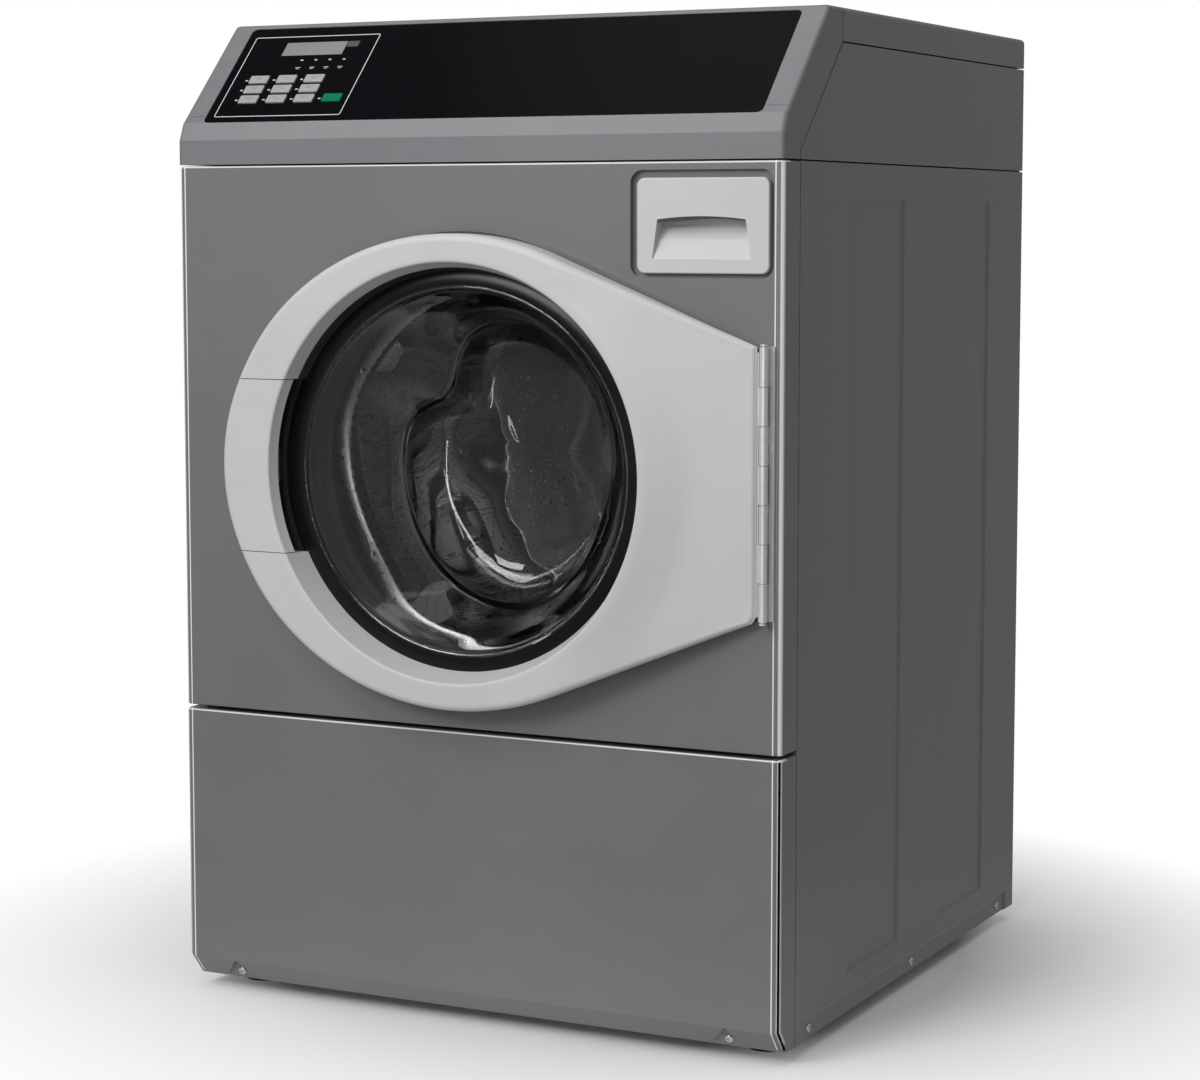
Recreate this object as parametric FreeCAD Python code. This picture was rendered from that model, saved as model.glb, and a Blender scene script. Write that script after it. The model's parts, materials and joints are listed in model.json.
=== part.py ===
# Front load washing machine, commercial style, as an assembly of separate pieces.
# Millimetres. +Z up, the front faces -Y, the origin is on the floor under the middle of the machine.
import FreeCAD, Part
import math
import os
from FreeCAD import Vector

# ---------------------------------------------------------------- overall sizes
cab_width = 683.0            # outside of the two side sheets
cab_depth = 697.0            # front panel face to rear edge of the side sheets
skirt_z = 15.0               # lower edge of the cabinet above the floor
lower_panel_height = 288.5   # skirt to the top edge of the lower front panel
front_panel_height = 564.0   # height of the front panel that carries the door
console_height = 149.0       # seam above the front panel to the top of the lid
lid_skirt = 33.0             # height of the lid's side edge
panel_gap = 4.0              # open line between the lower and the front panel
seam = 1.5                   # open line between all other outer panels
sheet = 1.5                  # thickness of the painted steel sheets
corner_radius = 8.0          # rounded vertical front edges
wrap_return = 38.0           # how far the front panels wrap round the sides
rear_reach = 40.0            # how far the drain outlet stands out at the back

# ---------------------------------------------------------------- console
console_band = 25.0          # upright band along the console's lower edge
slope_deg = 46.0             # control face, from the horizontal
slope_lift = 20.6            # height of the control face's plane above the seam at the front, less the band
bezel_wall = 4.0
crest_radius = 8.0
lid_setback = 142.4          # lid's front edge behind the front panel face
overlay_margin = 26.5        # overlay edge to the cabinet side
overlay_thick = 2.0
overlay_sunk = 0.8           # overlay face below the bezel face
overlay_low, overlay_high = 11.0, 151.5      # along the slope
key_width, key_height, key_radius = 22.6, 11.0, 1.2
key_pitch_x, key_pitch_s = 33.8, 14.6
key_first_x, key_low_s = -273.6, 44.3        # lower left key
key_proud, key_travel = 0.8, 1.0             # proud of the bezel face
key_clear = 0.35
display_x, display_s = -226.0, 119.8
display_width, display_height = 74.0, 19.6
port_width, port_height = 14.0, 8.6          # small dark window beside the display
lamp_width, lamp_height = 3.2, 1.8
lamp_offset = 15.8                           # key centre to the lamp beside it
status_lamp_x, status_lamp_pitch, status_lamp_s = -234.0, 17.1, 102.4
status_lamp_count = 4

# ---------------------------------------------------------------- door
door_centre_height = 552.0   # door and drum axis above the skirt
door_half_width = 266.0      # outline is an ellipse joined to the hinge edge
door_half_height = 236.0
door_edge_x = 319.5          # straight edge beside the hinge
door_edge_half = 130.2
door_thick = 40.0            # crown of the ring in front of the panel
door_edge_thick = 18.0       # at the hinge edge
door_flat_end = 228.0        # where the face starts to fall towards the hinge
door_skin = 3.5
door_edge_round = 5.5
window_front_radius = 207.0
window_back_radius = 199.0
inner_ring_radius = 238.0
inner_ring_hole = 187.0
inner_ring_thick = 11.0
door_panel_clear = 1.2
glass_thick = 5.0
glass_rim_radius = 204.0
glass_throat_radius = 180.0
glass_nose_radius = 156.0
glass_depth = 96.0           # inner face of the nose behind the front panel face
glass_nose_round = 26.0
glass_dome = 4.0             # rise of the domed nose
grip_low, grip_high = -88.0, 89.0            # finger grip, from the door's middle
grip_gap = 0.8
hinge_x, hinge_out = 326.0, 10.0             # hinge axis: across, and in front of the panel
hinge_barrel_radius = 4.2
hinge_pin_radius = 2.0
hinge_knuckles = 7
hinge_leaf = 1.6
running_clear = 0.06
catch_x = -222.0
door_open_deg = 170.0

# ---------------------------------------------------------------- detergent drawer
drawer_left, drawer_right = 189.0, 327.0
drawer_bottom, drawer_top = 735.5 + 14.5, 841.0   # above the skirt
drawer_corner = 8.0
drawer_face_thick = 24.0
drawer_recess = 6.0          # depth of the panel's recess round the drawer
drawer_recess_margin = 7.5
drawer_gap = 1.4
pull_left, pull_right = 16.3, 18.7           # pull scoop, in from the drawer's edges
pull_low, pull_high = 13.8, 36.6             # down from the top and up from the bottom edge
pull_depth = 18.0
pull_taper, pull_arch = 5.5, 3.0              # the scoop narrows upwards and its top edge is arched
pull_lip = 4.5                               # thickness of the lip over the scoop
tray_wall, tray_length = 2.0, 196.0
drawer_travel = 125.0

# ---------------------------------------------------------------- drum, tub and drive
drum_radius = 246.0
drum_depth = 385.0
drum_front = 92.0            # front edge of the drum behind the front panel face
drum_mouth_radius = 188.0
drum_sheet = 2.0
lifter_height, lifter_width = 46.0, 70.0
lifter_length = drum_depth - 55.0
lifter_sheet = 2.5
lifter_count = 3
tub_gap = 16.0               # drum to tub, radially
tub_wall = 2.5
tub_flange = 4.0             # bolted flange where the tub halves meet
tub_mouth_radius = 202.0
tub_front_gap = 17.0         # tub front wall ahead of the drum
tub_rear_gap = 26.0          # drum back to tub back wall, room for the spider
tub_split = 60.0             # length of the tub's front half
panel_hole_radius = 206.0
shaft_radius = 15.0
housing_length, housing_spigot = 66.0, 2.0    # bearing housing behind and into the tub's back wall
front_bearing_radius, front_bearing_end = 36.0, 14.5
rear_bearing_radius, rear_bearing_width = 31.0, 17.0
pulley_radius, pulley_width = 150.0, 20.0
motor_radius, motor_length = 64.0, 185.0
motor_wall, motor_cap = 8.0, 20.0            # thickness of its case and of its end shields
motor_x, motor_drop = 60.0, 377.0            # motor axis beside and below the drum axis
motor_pulley_radius = 20.0
belt_thick, belt_clear = 4.0, 0.3
damper_x, damper_radius, damper_rod_radius = 200.0, 15.0, 6.0
damper_front, damper_rear = 190.0, 430.0     # behind the front panel face
spring_x, spring_coil_radius, spring_wire = 303.0, 11.0, 3.2
spring_front, spring_rear = 246.0, 440.0     # behind the front panel face

# ---------------------------------------------------------------- base, feet and services
base_height = 30.0
base_sheet = 2.5
foot_inset_x, foot_front, foot_rear = 45.0, 78.0, 650.0
foot_pad_radius, foot_pad_height, foot_stud_radius = 20.0, 7.0, 6.0
foot_travel = 20.0
screw_head_radius, screw_shank_radius, screw_head_height = 4.6, 2.0, 2.0
side_screw_y = (77.6, 364.0, 645.0)
chamfer_drop, chamfer_back = 22.0, 18.0      # sloping lower edge of the lower panel
dimple_x, dimple_half = 283.0, 21.0
rib_low, rib_high = 42.0, 824.0              # pressed panels in the side sheets
rib_spans = ((172.0, 318.0), (446.0, 584.0))
rib_depth, rib_slope = 2.2, 5.0
front_flange = 16.0          # narrow enough to clear the drawer's housing
inlet_x, inlet_pitch, inlet_z = 240.0, 56.0, 900.0
inlet_radius, inlet_length = 13.2, 15.0
drain_x, drain_z, drain_radius = -250.0, 110.0, 14.0
boss_step = 1.4              # pipe boss beyond its spigot, where it passes the rear panel
panel_hole_clear = 0.8
gland_x, gland_z, gland_bore = 120.0, 900.0, 6.5
pump_x, pump_front, pump_height = -120.0, 95.0, 62.0   # across, behind the front panel, above the skirt

# ---------------------------------------------------------------- values that follow
half_width = cab_width / 2
front_y = -cab_depth / 2
rear_y = cab_depth / 2
lower_top = skirt_z + lower_panel_height
front_bottom = lower_top + panel_gap
front_top = front_bottom + front_panel_height
console_bottom = front_top + seam
cab_top = console_bottom + console_height
lid_bottom = cab_top - lid_skirt
band_top = console_bottom + console_band
slope_z = console_bottom + slope_lift + 15.0
slope = math.radians(slope_deg)
axis_z = skirt_z + door_centre_height
tub_radius = drum_radius + tub_gap + tub_wall
tub_front_y = front_y + drum_front - tub_front_gap
drum_front_y = front_y + drum_front
drum_back_y = drum_front_y + drum_depth
tub_back_y = drum_back_y + tub_rear_gap
spider_thick = tub_rear_gap - 8.0
pulley_y = tub_back_y + tub_wall + 78.0
overlay_half = half_width - overlay_margin
key_columns, key_rows = 3, 3


# ---------------------------------------------------------------- helpers
def block(x0, x1, y0, y1, z0, z1):
    return Part.makeBox(x1 - x0, y1 - y0, z1 - z0, Vector(x0, y0, z0))


def rod_y(radius, y0, y1, x=0.0, z=axis_z):
    return Part.makeCylinder(radius, y1 - y0, Vector(x, y0, z), Vector(0, 1, 0))


def rod_z(radius, x, y, z0, z1):
    return Part.makeCylinder(radius, z1 - z0, Vector(x, y, z0))


def polygon(points):
    return Part.makePolygon([Vector(*p) for p in points] + [Vector(*points[0])])


def prism_x(points, x0, x1):
    # solid with a (y, z) outline, from x0 to x1
    face = Part.Face(polygon([(x0, y, z) for y, z in points]))
    return face.extrude(Vector(x1 - x0, 0, 0))


def prism_y(wire_or_face, depth):
    face = wire_or_face if wire_or_face.ShapeType == "Face" else Part.Face(wire_or_face)
    return face.extrude(Vector(0, depth, 0))


def turned(points, x=0.0, z=axis_z):
    # solid of revolution about the drum's axis direction, from (radius, y) points
    face = Part.Face(polygon([(x + r, y, z) for r, y in points]))
    return face.revolve(Vector(x, 0, z), Vector(0, 1, 0), 360)


def rounded_rect(x0, x1, z0, z1, radius, y=0.0):
    # wire in a plane of constant y
    centres = [(x0 + radius, z0 + radius, 180), (x1 - radius, z0 + radius, 270),
               (x1 - radius, z1 - radius, 0), (x0 + radius, z1 - radius, 90)]
    edges, ends = [], []
    for cx, cz, start in centres:
        pts = []
        for turn in (0, 45, 90):
            a = math.radians(start + turn)
            pts.append(Vector(cx + radius * math.cos(a), y, cz + radius * math.sin(a)))
        ends.append((pts[0], pts[2]))
        edges.append(Part.Arc(*pts).toShape())
    lines = [Part.makeLine(ends[i][1], ends[(i + 1) % len(ends)][0]) for i in range(len(ends))]
    return Part.Wire(Part.__sortEdges__(edges + lines))


def rounded_plate(x0, x1, s0, s1, n0, n1, radius):
    # plate in the flat console frame: x across, s up the slope, n outwards
    wire = rounded_rect(x0, x1, s0, s1, radius)
    plate = prism_y(wire, n1 - n0)
    plate.rotate(Vector(0, 0, 0), Vector(1, 0, 0), -90)   # (x, depth, s) to (x, s, -depth)
    plate.translate(Vector(0, 0, n0 - plate.BoundBox.ZMin))
    if abs(plate.BoundBox.YMin - s0) > 1e-6:
        plate = plate.mirror(Vector(0, 0, 0), Vector(0, 1, 0))
    return plate


def on_slope(shape):
    shape.rotate(Vector(0, 0, 0), Vector(1, 0, 0), slope_deg)
    shape.translate(Vector(0, front_y, slope_z))
    return shape


def rounded(shape, radius, wanted):
    edges = [e for e in shape.Edges if wanted(e)]
    return shape.makeFillet(radius, edges)


def is_upright_at(x, y):
    # picks straight upright edges that stand at (+-x, y)
    def wanted(edge):
        box = edge.BoundBox
        return (abs(abs(box.XMin) - x) < 1e-4 and box.XLength < 1e-4
                and abs(box.YMin - y) < 1e-4 and box.YLength < 1e-4)
    return wanted


def frustum(side, x_outer, depth, y0, y1, z0, z1, inset):
    # sloping-walled block used to press a panel inwards; side is +1 or -1
    big = polygon([(side * x_outer, y0, z0), (side * x_outer, y1, z0),
                   (side * x_outer, y1, z1), (side * x_outer, y0, z1)])
    xi = side * (x_outer - depth)
    small = polygon([(xi, y0 + inset, z0 + inset), (xi, y1 - inset, z0 + inset),
                     (xi, y1 - inset, z1 - inset), (xi, y0 + inset, z1 - inset)])
    return Part.makeLoft([big, small], True, True)


# ---------------------------------------------------------------- outer sheets
def side_sheet(side):
    y0, y1 = front_y + wrap_return + seam, rear_y
    z0, z1 = skirt_z, console_bottom - seam
    xs = sorted((side * half_width, side * (half_width - sheet)))
    plate = block(xs[0], xs[1], y0, y1, z0, z1)
    presses = [(front_y + a, front_y + b, z0 + rib_low, z0 + rib_high) for a, b in rib_spans]
    hem = (front_y + 61.0, rear_y - 26.0, z0 - 12.0, z0 + 22.0)
    for a, b, c, d in presses + [hem]:
        plate = plate.fuse(frustum(side, half_width - sheet, rib_depth, a, b, c, d, rib_slope))
    for a, b, c, d in presses + [hem]:
        plate = plate.cut(frustum(side, half_width, rib_depth, a, b, c, d, rib_slope))
    return plate.common(block(-half_width, half_width, y0, y1, z0, z1))


def cabinet_wrap():
    y0, y1 = front_y + wrap_return + seam, rear_y
    z0, z1 = skirt_z, console_bottom - seam
    shape = side_sheet(1).fuse(side_sheet(-1))
    for side in (1, -1):
        xa, xb = half_width - sheet / 2, half_width - 26.0
        xs = sorted((side * xa, side * xb))
        shape = shape.fuse(block(xs[0], xs[1], y1 - sheet, y1, z0, z1))          # rear flange
        xs = sorted((side * xa, side * (half_width - front_flange)))
        shape = shape.fuse(block(xs[0], xs[1], y0, y0 + sheet, z0 + 40, z1))     # front flange
        xc = sorted((side * xa, side * (half_width - 58.0)))
        rail = block(xc[0], xc[1], y0, y1 - 4.0, z1 - 2.0, z1)                         # top rail for the springs
        for y in spring_places():
            rail = rail.cut(rod_z(spring_wire + 1.0, side * spring_x, y, z1 - 5, z1 + 5))
        shape = shape.fuse(rail)
        for y in side_screw_y:
            hole = Part.makeCylinder(screw_shank_radius + 0.3, 14, Vector(side * (half_width - 12), front_y + y,
                                     skirt_z + 9.5), Vector(side, 0, 0))
            shape = shape.cut(hole)
    for x, z in rear_screw_places():
        shape = shape.cut(rod_y(screw_shank_radius + 0.3, rear_y - 5, rear_y + 1, x, z))
    return shape.removeSplitter()


def front_panel():
    z0, z1 = front_bottom, front_top
    outer = block(-half_width, half_width, front_y, front_y + wrap_return, z0, z1)
    outer = rounded(outer, corner_radius, is_upright_at(half_width, front_y))
    rim = lambda e: e.BoundBox.ZLength < 1e-4 and e.BoundBox.YMax < front_y + corner_radius + 1e-3
    outer = outer.makeFillet(2.0, [e for e in outer.Edges if rim(e)])
    inside = block(-half_width + sheet, half_width - sheet, front_y + sheet, front_y + wrap_return + 5,
                   z0 + sheet, z1 - sheet)
    inside = rounded(inside, corner_radius - sheet, is_upright_at(half_width - sheet, front_y + sheet))
    # recess pressed round the detergent drawer
    m = drawer_recess_margin
    x0, x1 = drawer_left - m, drawer_right + m * 0.55
    d0, d1 = skirt_z + drawer_bottom - m * 0.55, skirt_z + drawer_top + m
    pocket = prism_y(rounded_rect(x0, x1, d0, d1, drawer_corner + m * 0.6, front_y - 1), drawer_recess + 1)
    backing = prism_y(rounded_rect(x0 - sheet, x1 + sheet, d0 - sheet, d1 + sheet,
                                   drawer_corner + m * 0.6 + sheet, front_y), drawer_recess + sheet)
    shape = outer.cut(inside).fuse(backing).cut(pocket)
    # door opening with a short inward collar that carries the seal
    collar = rod_y(panel_hole_radius + sheet, front_y, front_y + 12).cut(
        rod_y(panel_hole_radius, front_y - 1, front_y + 13))
    shape = shape.cut(rod_y(panel_hole_radius, front_y - 5, front_y + 20)).fuse(collar)
    # hole that the drawer's tray runs through
    shape = shape.cut(block(*tray_hole(2.0)))
    # slot that the door's catch enters
    shape = shape.cut(block(catch_x - 5, catch_x + 5, front_y - 2, front_y + 4, axis_z - 16, axis_z + 16))
    return shape.removeSplitter()


def lower_panel():
    z0, z1 = skirt_z, lower_top
    outline = [(0, z1), (0, z0 + chamfer_drop), (chamfer_back, z0), (wrap_return, z0), (wrap_return, z1)]
    outer = prism_x([(front_y + y, z) for y, z in outline], -half_width, half_width)
    edge_kind = lambda e: (abs(abs(e.BoundBox.XMin) - half_width) < 1e-4 and e.BoundBox.XLength < 1e-4
                           and e.BoundBox.YMax < front_y + chamfer_back + 1e-3
                           and e.BoundBox.ZLength > 1.0)
    outer = outer.makeFillet(corner_radius, [e for e in outer.Edges if edge_kind(e)])
    top_rim = lambda e: (e.BoundBox.ZLength < 1e-4 and abs(e.BoundBox.ZMin - z1) < 1e-4
                         and e.BoundBox.YMax < front_y + corner_radius + 1e-3)
    outer = outer.makeFillet(2.0, [e for e in outer.Edges if top_rim(e)])
    t = sheet
    lean = math.hypot(chamfer_drop, chamfer_back)
    inset = t * (lean - chamfer_drop) / chamfer_back
    inner_outline = [(t, z1 - t), (t, z0 + chamfer_drop + inset), (chamfer_back + inset, z0 + t),
                     (wrap_return + 5, z0 + t), (wrap_return + 5, z1 - t)]
    inner = prism_x([(front_y + y, z) for y, z in inner_outline], -half_width + t, half_width - t)
    shell = outer.cut(inner)
    for side in (1, -1):                       # pads behind the dimples, so that they aren't cut through
        pad = dimple(side * dimple_x, t * 1.6, 1.15).common(outer)
        shell = shell.fuse(pad)
    for side in (1, -1):
        shell = shell.cut(dimple(side * dimple_x, 0.0, 1.0))
        centre, out = dimple_screw(side * dimple_x)
        shell = shell.cut(Part.makeCylinder(screw_shank_radius + 0.3, 12, centre - out * 9, out))
    return shell.removeSplitter()


def dimple(x, deeper, wider):
    # three-cornered pocket in the sloping lower edge; its floor is steeper than the slope
    z0 = skirt_z
    apex_back = 8.0
    w = dimple_half * wider
    low_y = front_y + chamfer_back + deeper
    top_y = front_y + apex_back + deeper
    base = [Vector(x - w, low_y, z0), Vector(x + w, low_y, z0), Vector(x, top_y, z0 + chamfer_drop * wider)]
    front = [Vector(v.x, front_y - 12.0, v.z) for v in base]
    faces = [Part.Face(Part.makePolygon(base + [base[0]])), Part.Face(Part.makePolygon(front + [front[0]]))]
    for i in range(3):
        j = (i + 1) % 3
        faces.append(Part.Face(Part.makePolygon([base[i], base[j], front[j], front[i], base[i]])))
    return Part.makeSolid(Part.makeShell(faces))


def dimple_screw(x):
    # middle of the dimple's floor and the way the screw head faces
    apex_back, rise = 8.0, 0.36
    y = front_y + chamfer_back - (chamfer_back - apex_back) * rise
    run = math.hypot(chamfer_drop, chamfer_back - apex_back)
    out = Vector(0, -chamfer_drop / run, -(chamfer_back - apex_back) / run)
    return Vector(x, y, skirt_z + chamfer_drop * rise), out


def rear_screw_places():
    xs = half_width - 14.0
    return [(side * xs, z) for side in (1, -1) for z in (70.0, 320.0, 570.0, console_bottom - 40.0)]


def rear_panel():
    x = half_width - 3.0
    y0, y1 = rear_y - 2 * sheet - 0.2, rear_y - sheet - 0.2
    plate = block(-x, x, y0, y1, skirt_z + 25, lid_bottom - 2)
    # louvres low down, and a pressed service cover in the middle
    for row in range(6):
        for side in (1, -1):
            z = skirt_z + 60 + row * 14
            xs = sorted((side * 90.0, side * 190.0))
            plate = plate.cut(block(xs[0], xs[1], y0 - 1, y1 + 1, z, z + 4))
    plate = plate.cut(rod_y(drain_radius + 2 * boss_step + panel_hole_clear, y0 - 1, y1 + 1, drain_x, drain_z))
    for k in (-1, 1):
        plate = plate.cut(rod_y(inlet_radius + boss_step + panel_hole_clear, y0 - 1, y1 + 1,
                                inlet_x + k * inlet_pitch / 2, inlet_z))
    plate = plate.cut(rod_y(gland_bore + 3.0 + panel_hole_clear, y0 - 1, y1 + 1, gland_x, gland_z))
    for sx, sz in rear_screw_places():
        plate = plate.cut(rod_y(screw_shank_radius + 0.3, y0 - 5, y1 + 1, sx, sz))
    return plate


def service_cover():
    y0 = rear_y - sheet - 0.2
    wire = rounded_rect(-190, 190, axis_z - 150, axis_z + 190, 18, y0)
    cover = prism_y(wire, 4.0)
    cover = cover.makeFillet(2.5, [e for e in cover.Edges if e.BoundBox.YMin > y0 + 3.9])
    inner = prism_y(rounded_rect(-188, 188, axis_z - 148, axis_z + 188, 16, y0 - 1), 3.6)
    return cover.cut(inner)


def base_half():
    return half_width - sheet - rib_depth - 0.6


def base_pan():
    x = base_half()
    y0, y1 = front_y + wrap_return + seam + sheet + 0.6, rear_y - 2 * sheet - 0.6
    z0 = skirt_z + 2.0
    pan = block(-x, x, y0, y1, z0, z0 + base_height).cut(
        block(-x + base_sheet, x - base_sheet, y0 + base_sheet, y1 - base_sheet, z0 + base_sheet, z0 + 60))
    for fx, fy in foot_places():
        pan = pan.fuse(rod_z(14.0, fx, fy, z0 + base_sheet / 2, z0 + 22))
        pan = pan.cut(rod_z(foot_stud_radius + running_clear, fx, fy, z0 - 5, z0 + 60))
    for side in (1, -1):
        for y in (damper_front, damper_rear):
            pan = pan.fuse(block(side * damper_x - 16, side * damper_x + 16, front_y + y - 16, front_y + y + 16,
                                 z0 + base_sheet / 2, z0 + 9))
        for y in side_screw_y:
            hole = Part.makeCylinder(screw_shank_radius + 0.3, 30, Vector(side * (half_width - 28), front_y + y,
                                     skirt_z + 9.5), Vector(side, 0, 0))
            pan = pan.cut(hole)
    # stiffening rails along the floor
    for x_rail in (-95.0, 95.0):
        pan = pan.fuse(block(x_rail - 12, x_rail + 12, y0 + base_sheet / 2, y1 - base_sheet / 2,
                             z0 + base_sheet / 2, z0 + 12))
    return pan.removeSplitter()


def foot_places():
    xs = half_width - foot_inset_x
    return [(-xs, front_y + foot_front), (xs, front_y + foot_front),
            (-xs, front_y + foot_rear), (xs, front_y + foot_rear)]


def foot(x, y):
    pad = Part.makeCone(foot_pad_radius, foot_pad_radius - 5, foot_pad_height, Vector(x, y, 0))
    hexagon = [(x + 11 * math.cos(math.radians(60 * i)), y + 11 * math.sin(math.radians(60 * i)),
                foot_pad_height) for i in range(6)]
    nut = Part.Face(polygon(hexagon)).extrude(Vector(0, 0, 6.5))
    stud = rod_z(foot_stud_radius, x, y, foot_pad_height, foot_pad_height + 52)
    return pad.fuse(nut).fuse(stud)


def top_panel():
    y0, y1 = front_y + lid_setback + seam, rear_y
    outer = block(-half_width, half_width, y0, y1, lid_bottom, cab_top)
    picks = lambda e: (abs(e.BoundBox.ZMin - cab_top) < 1e-4 and e.BoundBox.ZLength < 1e-4
                       and (abs(abs(e.BoundBox.XMin) - half_width) < 1e-4 and e.BoundBox.XLength < 1e-4
                            or abs(e.BoundBox.YMin - y1) < 1e-4))
    outer = outer.makeFillet(5.0, [e for e in outer.Edges if picks(e)])
    inner = block(-half_width + sheet, half_width - sheet, y0 - 1, y1 - sheet, lid_bottom - 1, cab_top - sheet)
    inner_picks = lambda e: (abs(e.BoundBox.ZMin - (cab_top - sheet)) < 1e-4 and e.BoundBox.ZLength < 1e-4
                             and (e.BoundBox.XLength < 1e-4 or abs(e.BoundBox.YMin - (y1 - sheet)) < 1e-4))
    inner = inner.makeFillet(3.5, [e for e in inner.Edges if inner_picks(e)])
    return outer.cut(inner)


def console_line(offset_y=0.0):
    # (y, z) on the line where the bezel's cheek meets the console side and the lid
    drop = math.tan(slope) * (lid_setback - wrap_return)
    return [(wrap_return + offset_y, lid_bottom - drop), (lid_setback + offset_y, lid_bottom)]


def console_sides():
    (ya, za), (yb, zb) = console_line(seam)
    points = [(ya, console_bottom), (ya, za), (yb, zb - seam), (cab_depth, zb - seam), (cab_depth, console_bottom)]
    shape = None
    for side in (1, -1):
        xs = sorted((side * half_width, side * (half_width - sheet)))
        cheek = prism_x([(front_y + y, z) for y, z in points], xs[0], xs[1])
        xf = sorted((side * (half_width - sheet / 2), side * (half_width - 26.0)))
        cheek = cheek.fuse(block(xf[0], xf[1], rear_y - sheet, rear_y, console_bottom, zb - seam))
        xg = sorted((side * (half_width - sheet / 2), side * (half_width - 18.0)))
        cheek = cheek.fuse(block(xg[0], xg[1], front_y + ya + 6, rear_y - 4.0, console_bottom, console_bottom + sheet))
        shape = cheek if shape is None else Part.makeCompound(shape.Solids + cheek.Solids)
    return shape


# ---------------------------------------------------------------- console
def slope_point(s, n=0.0):
    # (y, z) of a point on the control face, y counted from the front panel face
    return s * math.cos(slope) - n * math.sin(slope), slope_z + s * math.sin(slope) + n * math.cos(slope)


def bezel_outline(inset):
    # front skin from the seam up to the crest; inset moves it inwards
    low_turn = math.atan2(slope_point(overlay_low)[1] - band_top, slope_point(overlay_low)[0])
    y1, z1 = slope_point(overlay_low)
    # facet between the band and the control face, moved inwards and met with its neighbours
    nx, nz = math.sin(low_turn), -math.cos(low_turn)
    facet_d = nx * 0 + nz * band_top + inset
    foot_point = (inset, (facet_d - nx * inset) / nz)
    sy, sz = math.sin(slope), -math.cos(slope)
    slope_d = sz * slope_z + inset
    det = nx * sz - nz * sy
    knee = ((facet_d * sz - nz * slope_d) / det, (nx * slope_d - facet_d * sy) / det)
    top_z = cab_top - inset
    crest = ((slope_d - sz * top_z) / sy, top_z)
    return foot_point, knee, crest


def console_bezel():
    foot_point, knee, crest = bezel_outline(0.0)
    (ya, za), (yb, zb) = console_line(0.0)
    outline = [(0, console_bottom), foot_point, knee, crest, (yb, cab_top), (yb, zb), (ya, za),
               (ya, console_bottom)]
    outer = prism_x([(front_y + y, z) for y, z in outline], -half_width, half_width)
    crest_edge = lambda e: (e.BoundBox.XLength > cab_width - 1 and abs(e.BoundBox.ZMin - cab_top) < 1e-3
                            and abs(e.BoundBox.YMin - front_y - crest[0]) < 1e-3)
    outer = outer.makeFillet(crest_radius, [e for e in outer.Edges if crest_edge(e)])
    rim = lambda e: (abs(abs(e.BoundBox.XMin) - half_width) < 1e-4 and e.BoundBox.XLength < 1e-4
                     and not is_cheek_edge(e))
    outer = outer.makeFillet(5.0, [e for e in outer.Edges if rim(e)])
    f2, k2, c2 = bezel_outline(bezel_wall)
    hollow = [(bezel_wall, console_bottom - 1), f2, k2, c2, (yb + 1, cab_top - bezel_wall), (yb + 1, console_bottom - 1)]
    inner = prism_x([(front_y + y, z) for y, z in hollow], -half_width + bezel_wall, half_width - bezel_wall)
    shape = outer.cut(inner)
    # pocket that the overlay lies in
    pocket = rounded_plate(-overlay_half - 0.3, overlay_half + 0.3, overlay_low - 0.3, overlay_high + 0.3,
                           -overlay_sunk - overlay_thick, 5, 6.3)
    shape = shape.cut(on_slope(pocket))
    for hole in console_holes(key_clear, -12.0, 6.0):
        shape = shape.cut(on_slope(hole))
    # joint line across each side strip
    for side in (1, -1):
        xs = sorted((side * (half_width + 1), side * (overlay_half + 2.5)))
        groove = block(xs[0], xs[1], 19.6, 20.3, -0.7, 3)
        shape = shape.cut(on_slope(groove))
    # bosses that carry the control board
    for x, s in board_posts():
        post = Part.makeCylinder(4.0, board_depth() - bezel_wall + 0.5, Vector(x, s, -board_depth()))
        shape = shape.fuse(on_slope(post))
    return shape.removeSplitter()


def is_cheek_edge(edge):
    # edges of the cheek's rear and lower boundary, and upright seams, stay sharp
    box = edge.BoundBox
    (ya, za), (yb, zb) = console_line(0.0)
    mid_y = (box.YMin + box.YMax) / 2 - front_y
    mid_z = (box.ZMin + box.ZMax) / 2
    if abs(mid_z - console_bottom) < 1e-3 and box.ZLength < 1e-3:
        return True
    if abs(mid_y - ya) < 1e-3 or abs(mid_y - yb) < 1e-3:
        return True
    on_line = abs((mid_z - za) - math.tan(slope) * (mid_y - ya)) < 1e-2
    return on_line and box.YLength > 1


def board_depth():
    return 17.0


def board_posts():
    return [(x, s) for x in (key_first_x - 28, -140.0) for s in (28.0, 138.0)]


def key_places():
    places = {}
    for row in range(key_rows):
        for column in range(key_columns):
            number = row * key_columns + column + 1
            places["key_%d" % number] = (key_first_x + column * key_pitch_x,
                                         key_low_s + (key_rows - 1 - row) * key_pitch_s)
    places["start_key"] = (key_first_x + key_columns * key_pitch_x, key_low_s)
    return places


def lamp_places():
    lamps = [(x - lamp_offset, s) for x, s in key_places().values()]
    return lamps + [(status_lamp_x + i * status_lamp_pitch, status_lamp_s) for i in range(status_lamp_count)]


def window_places():
    half_w, half_h = display_width / 2, display_height / 2
    port_x = display_x + half_w + 0.8
    top = display_s + half_h
    return [(display_x - half_w, display_x + half_w, display_s - half_h, display_s + half_h),
            (port_x, port_x + port_width, top - port_height, top)]


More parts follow.
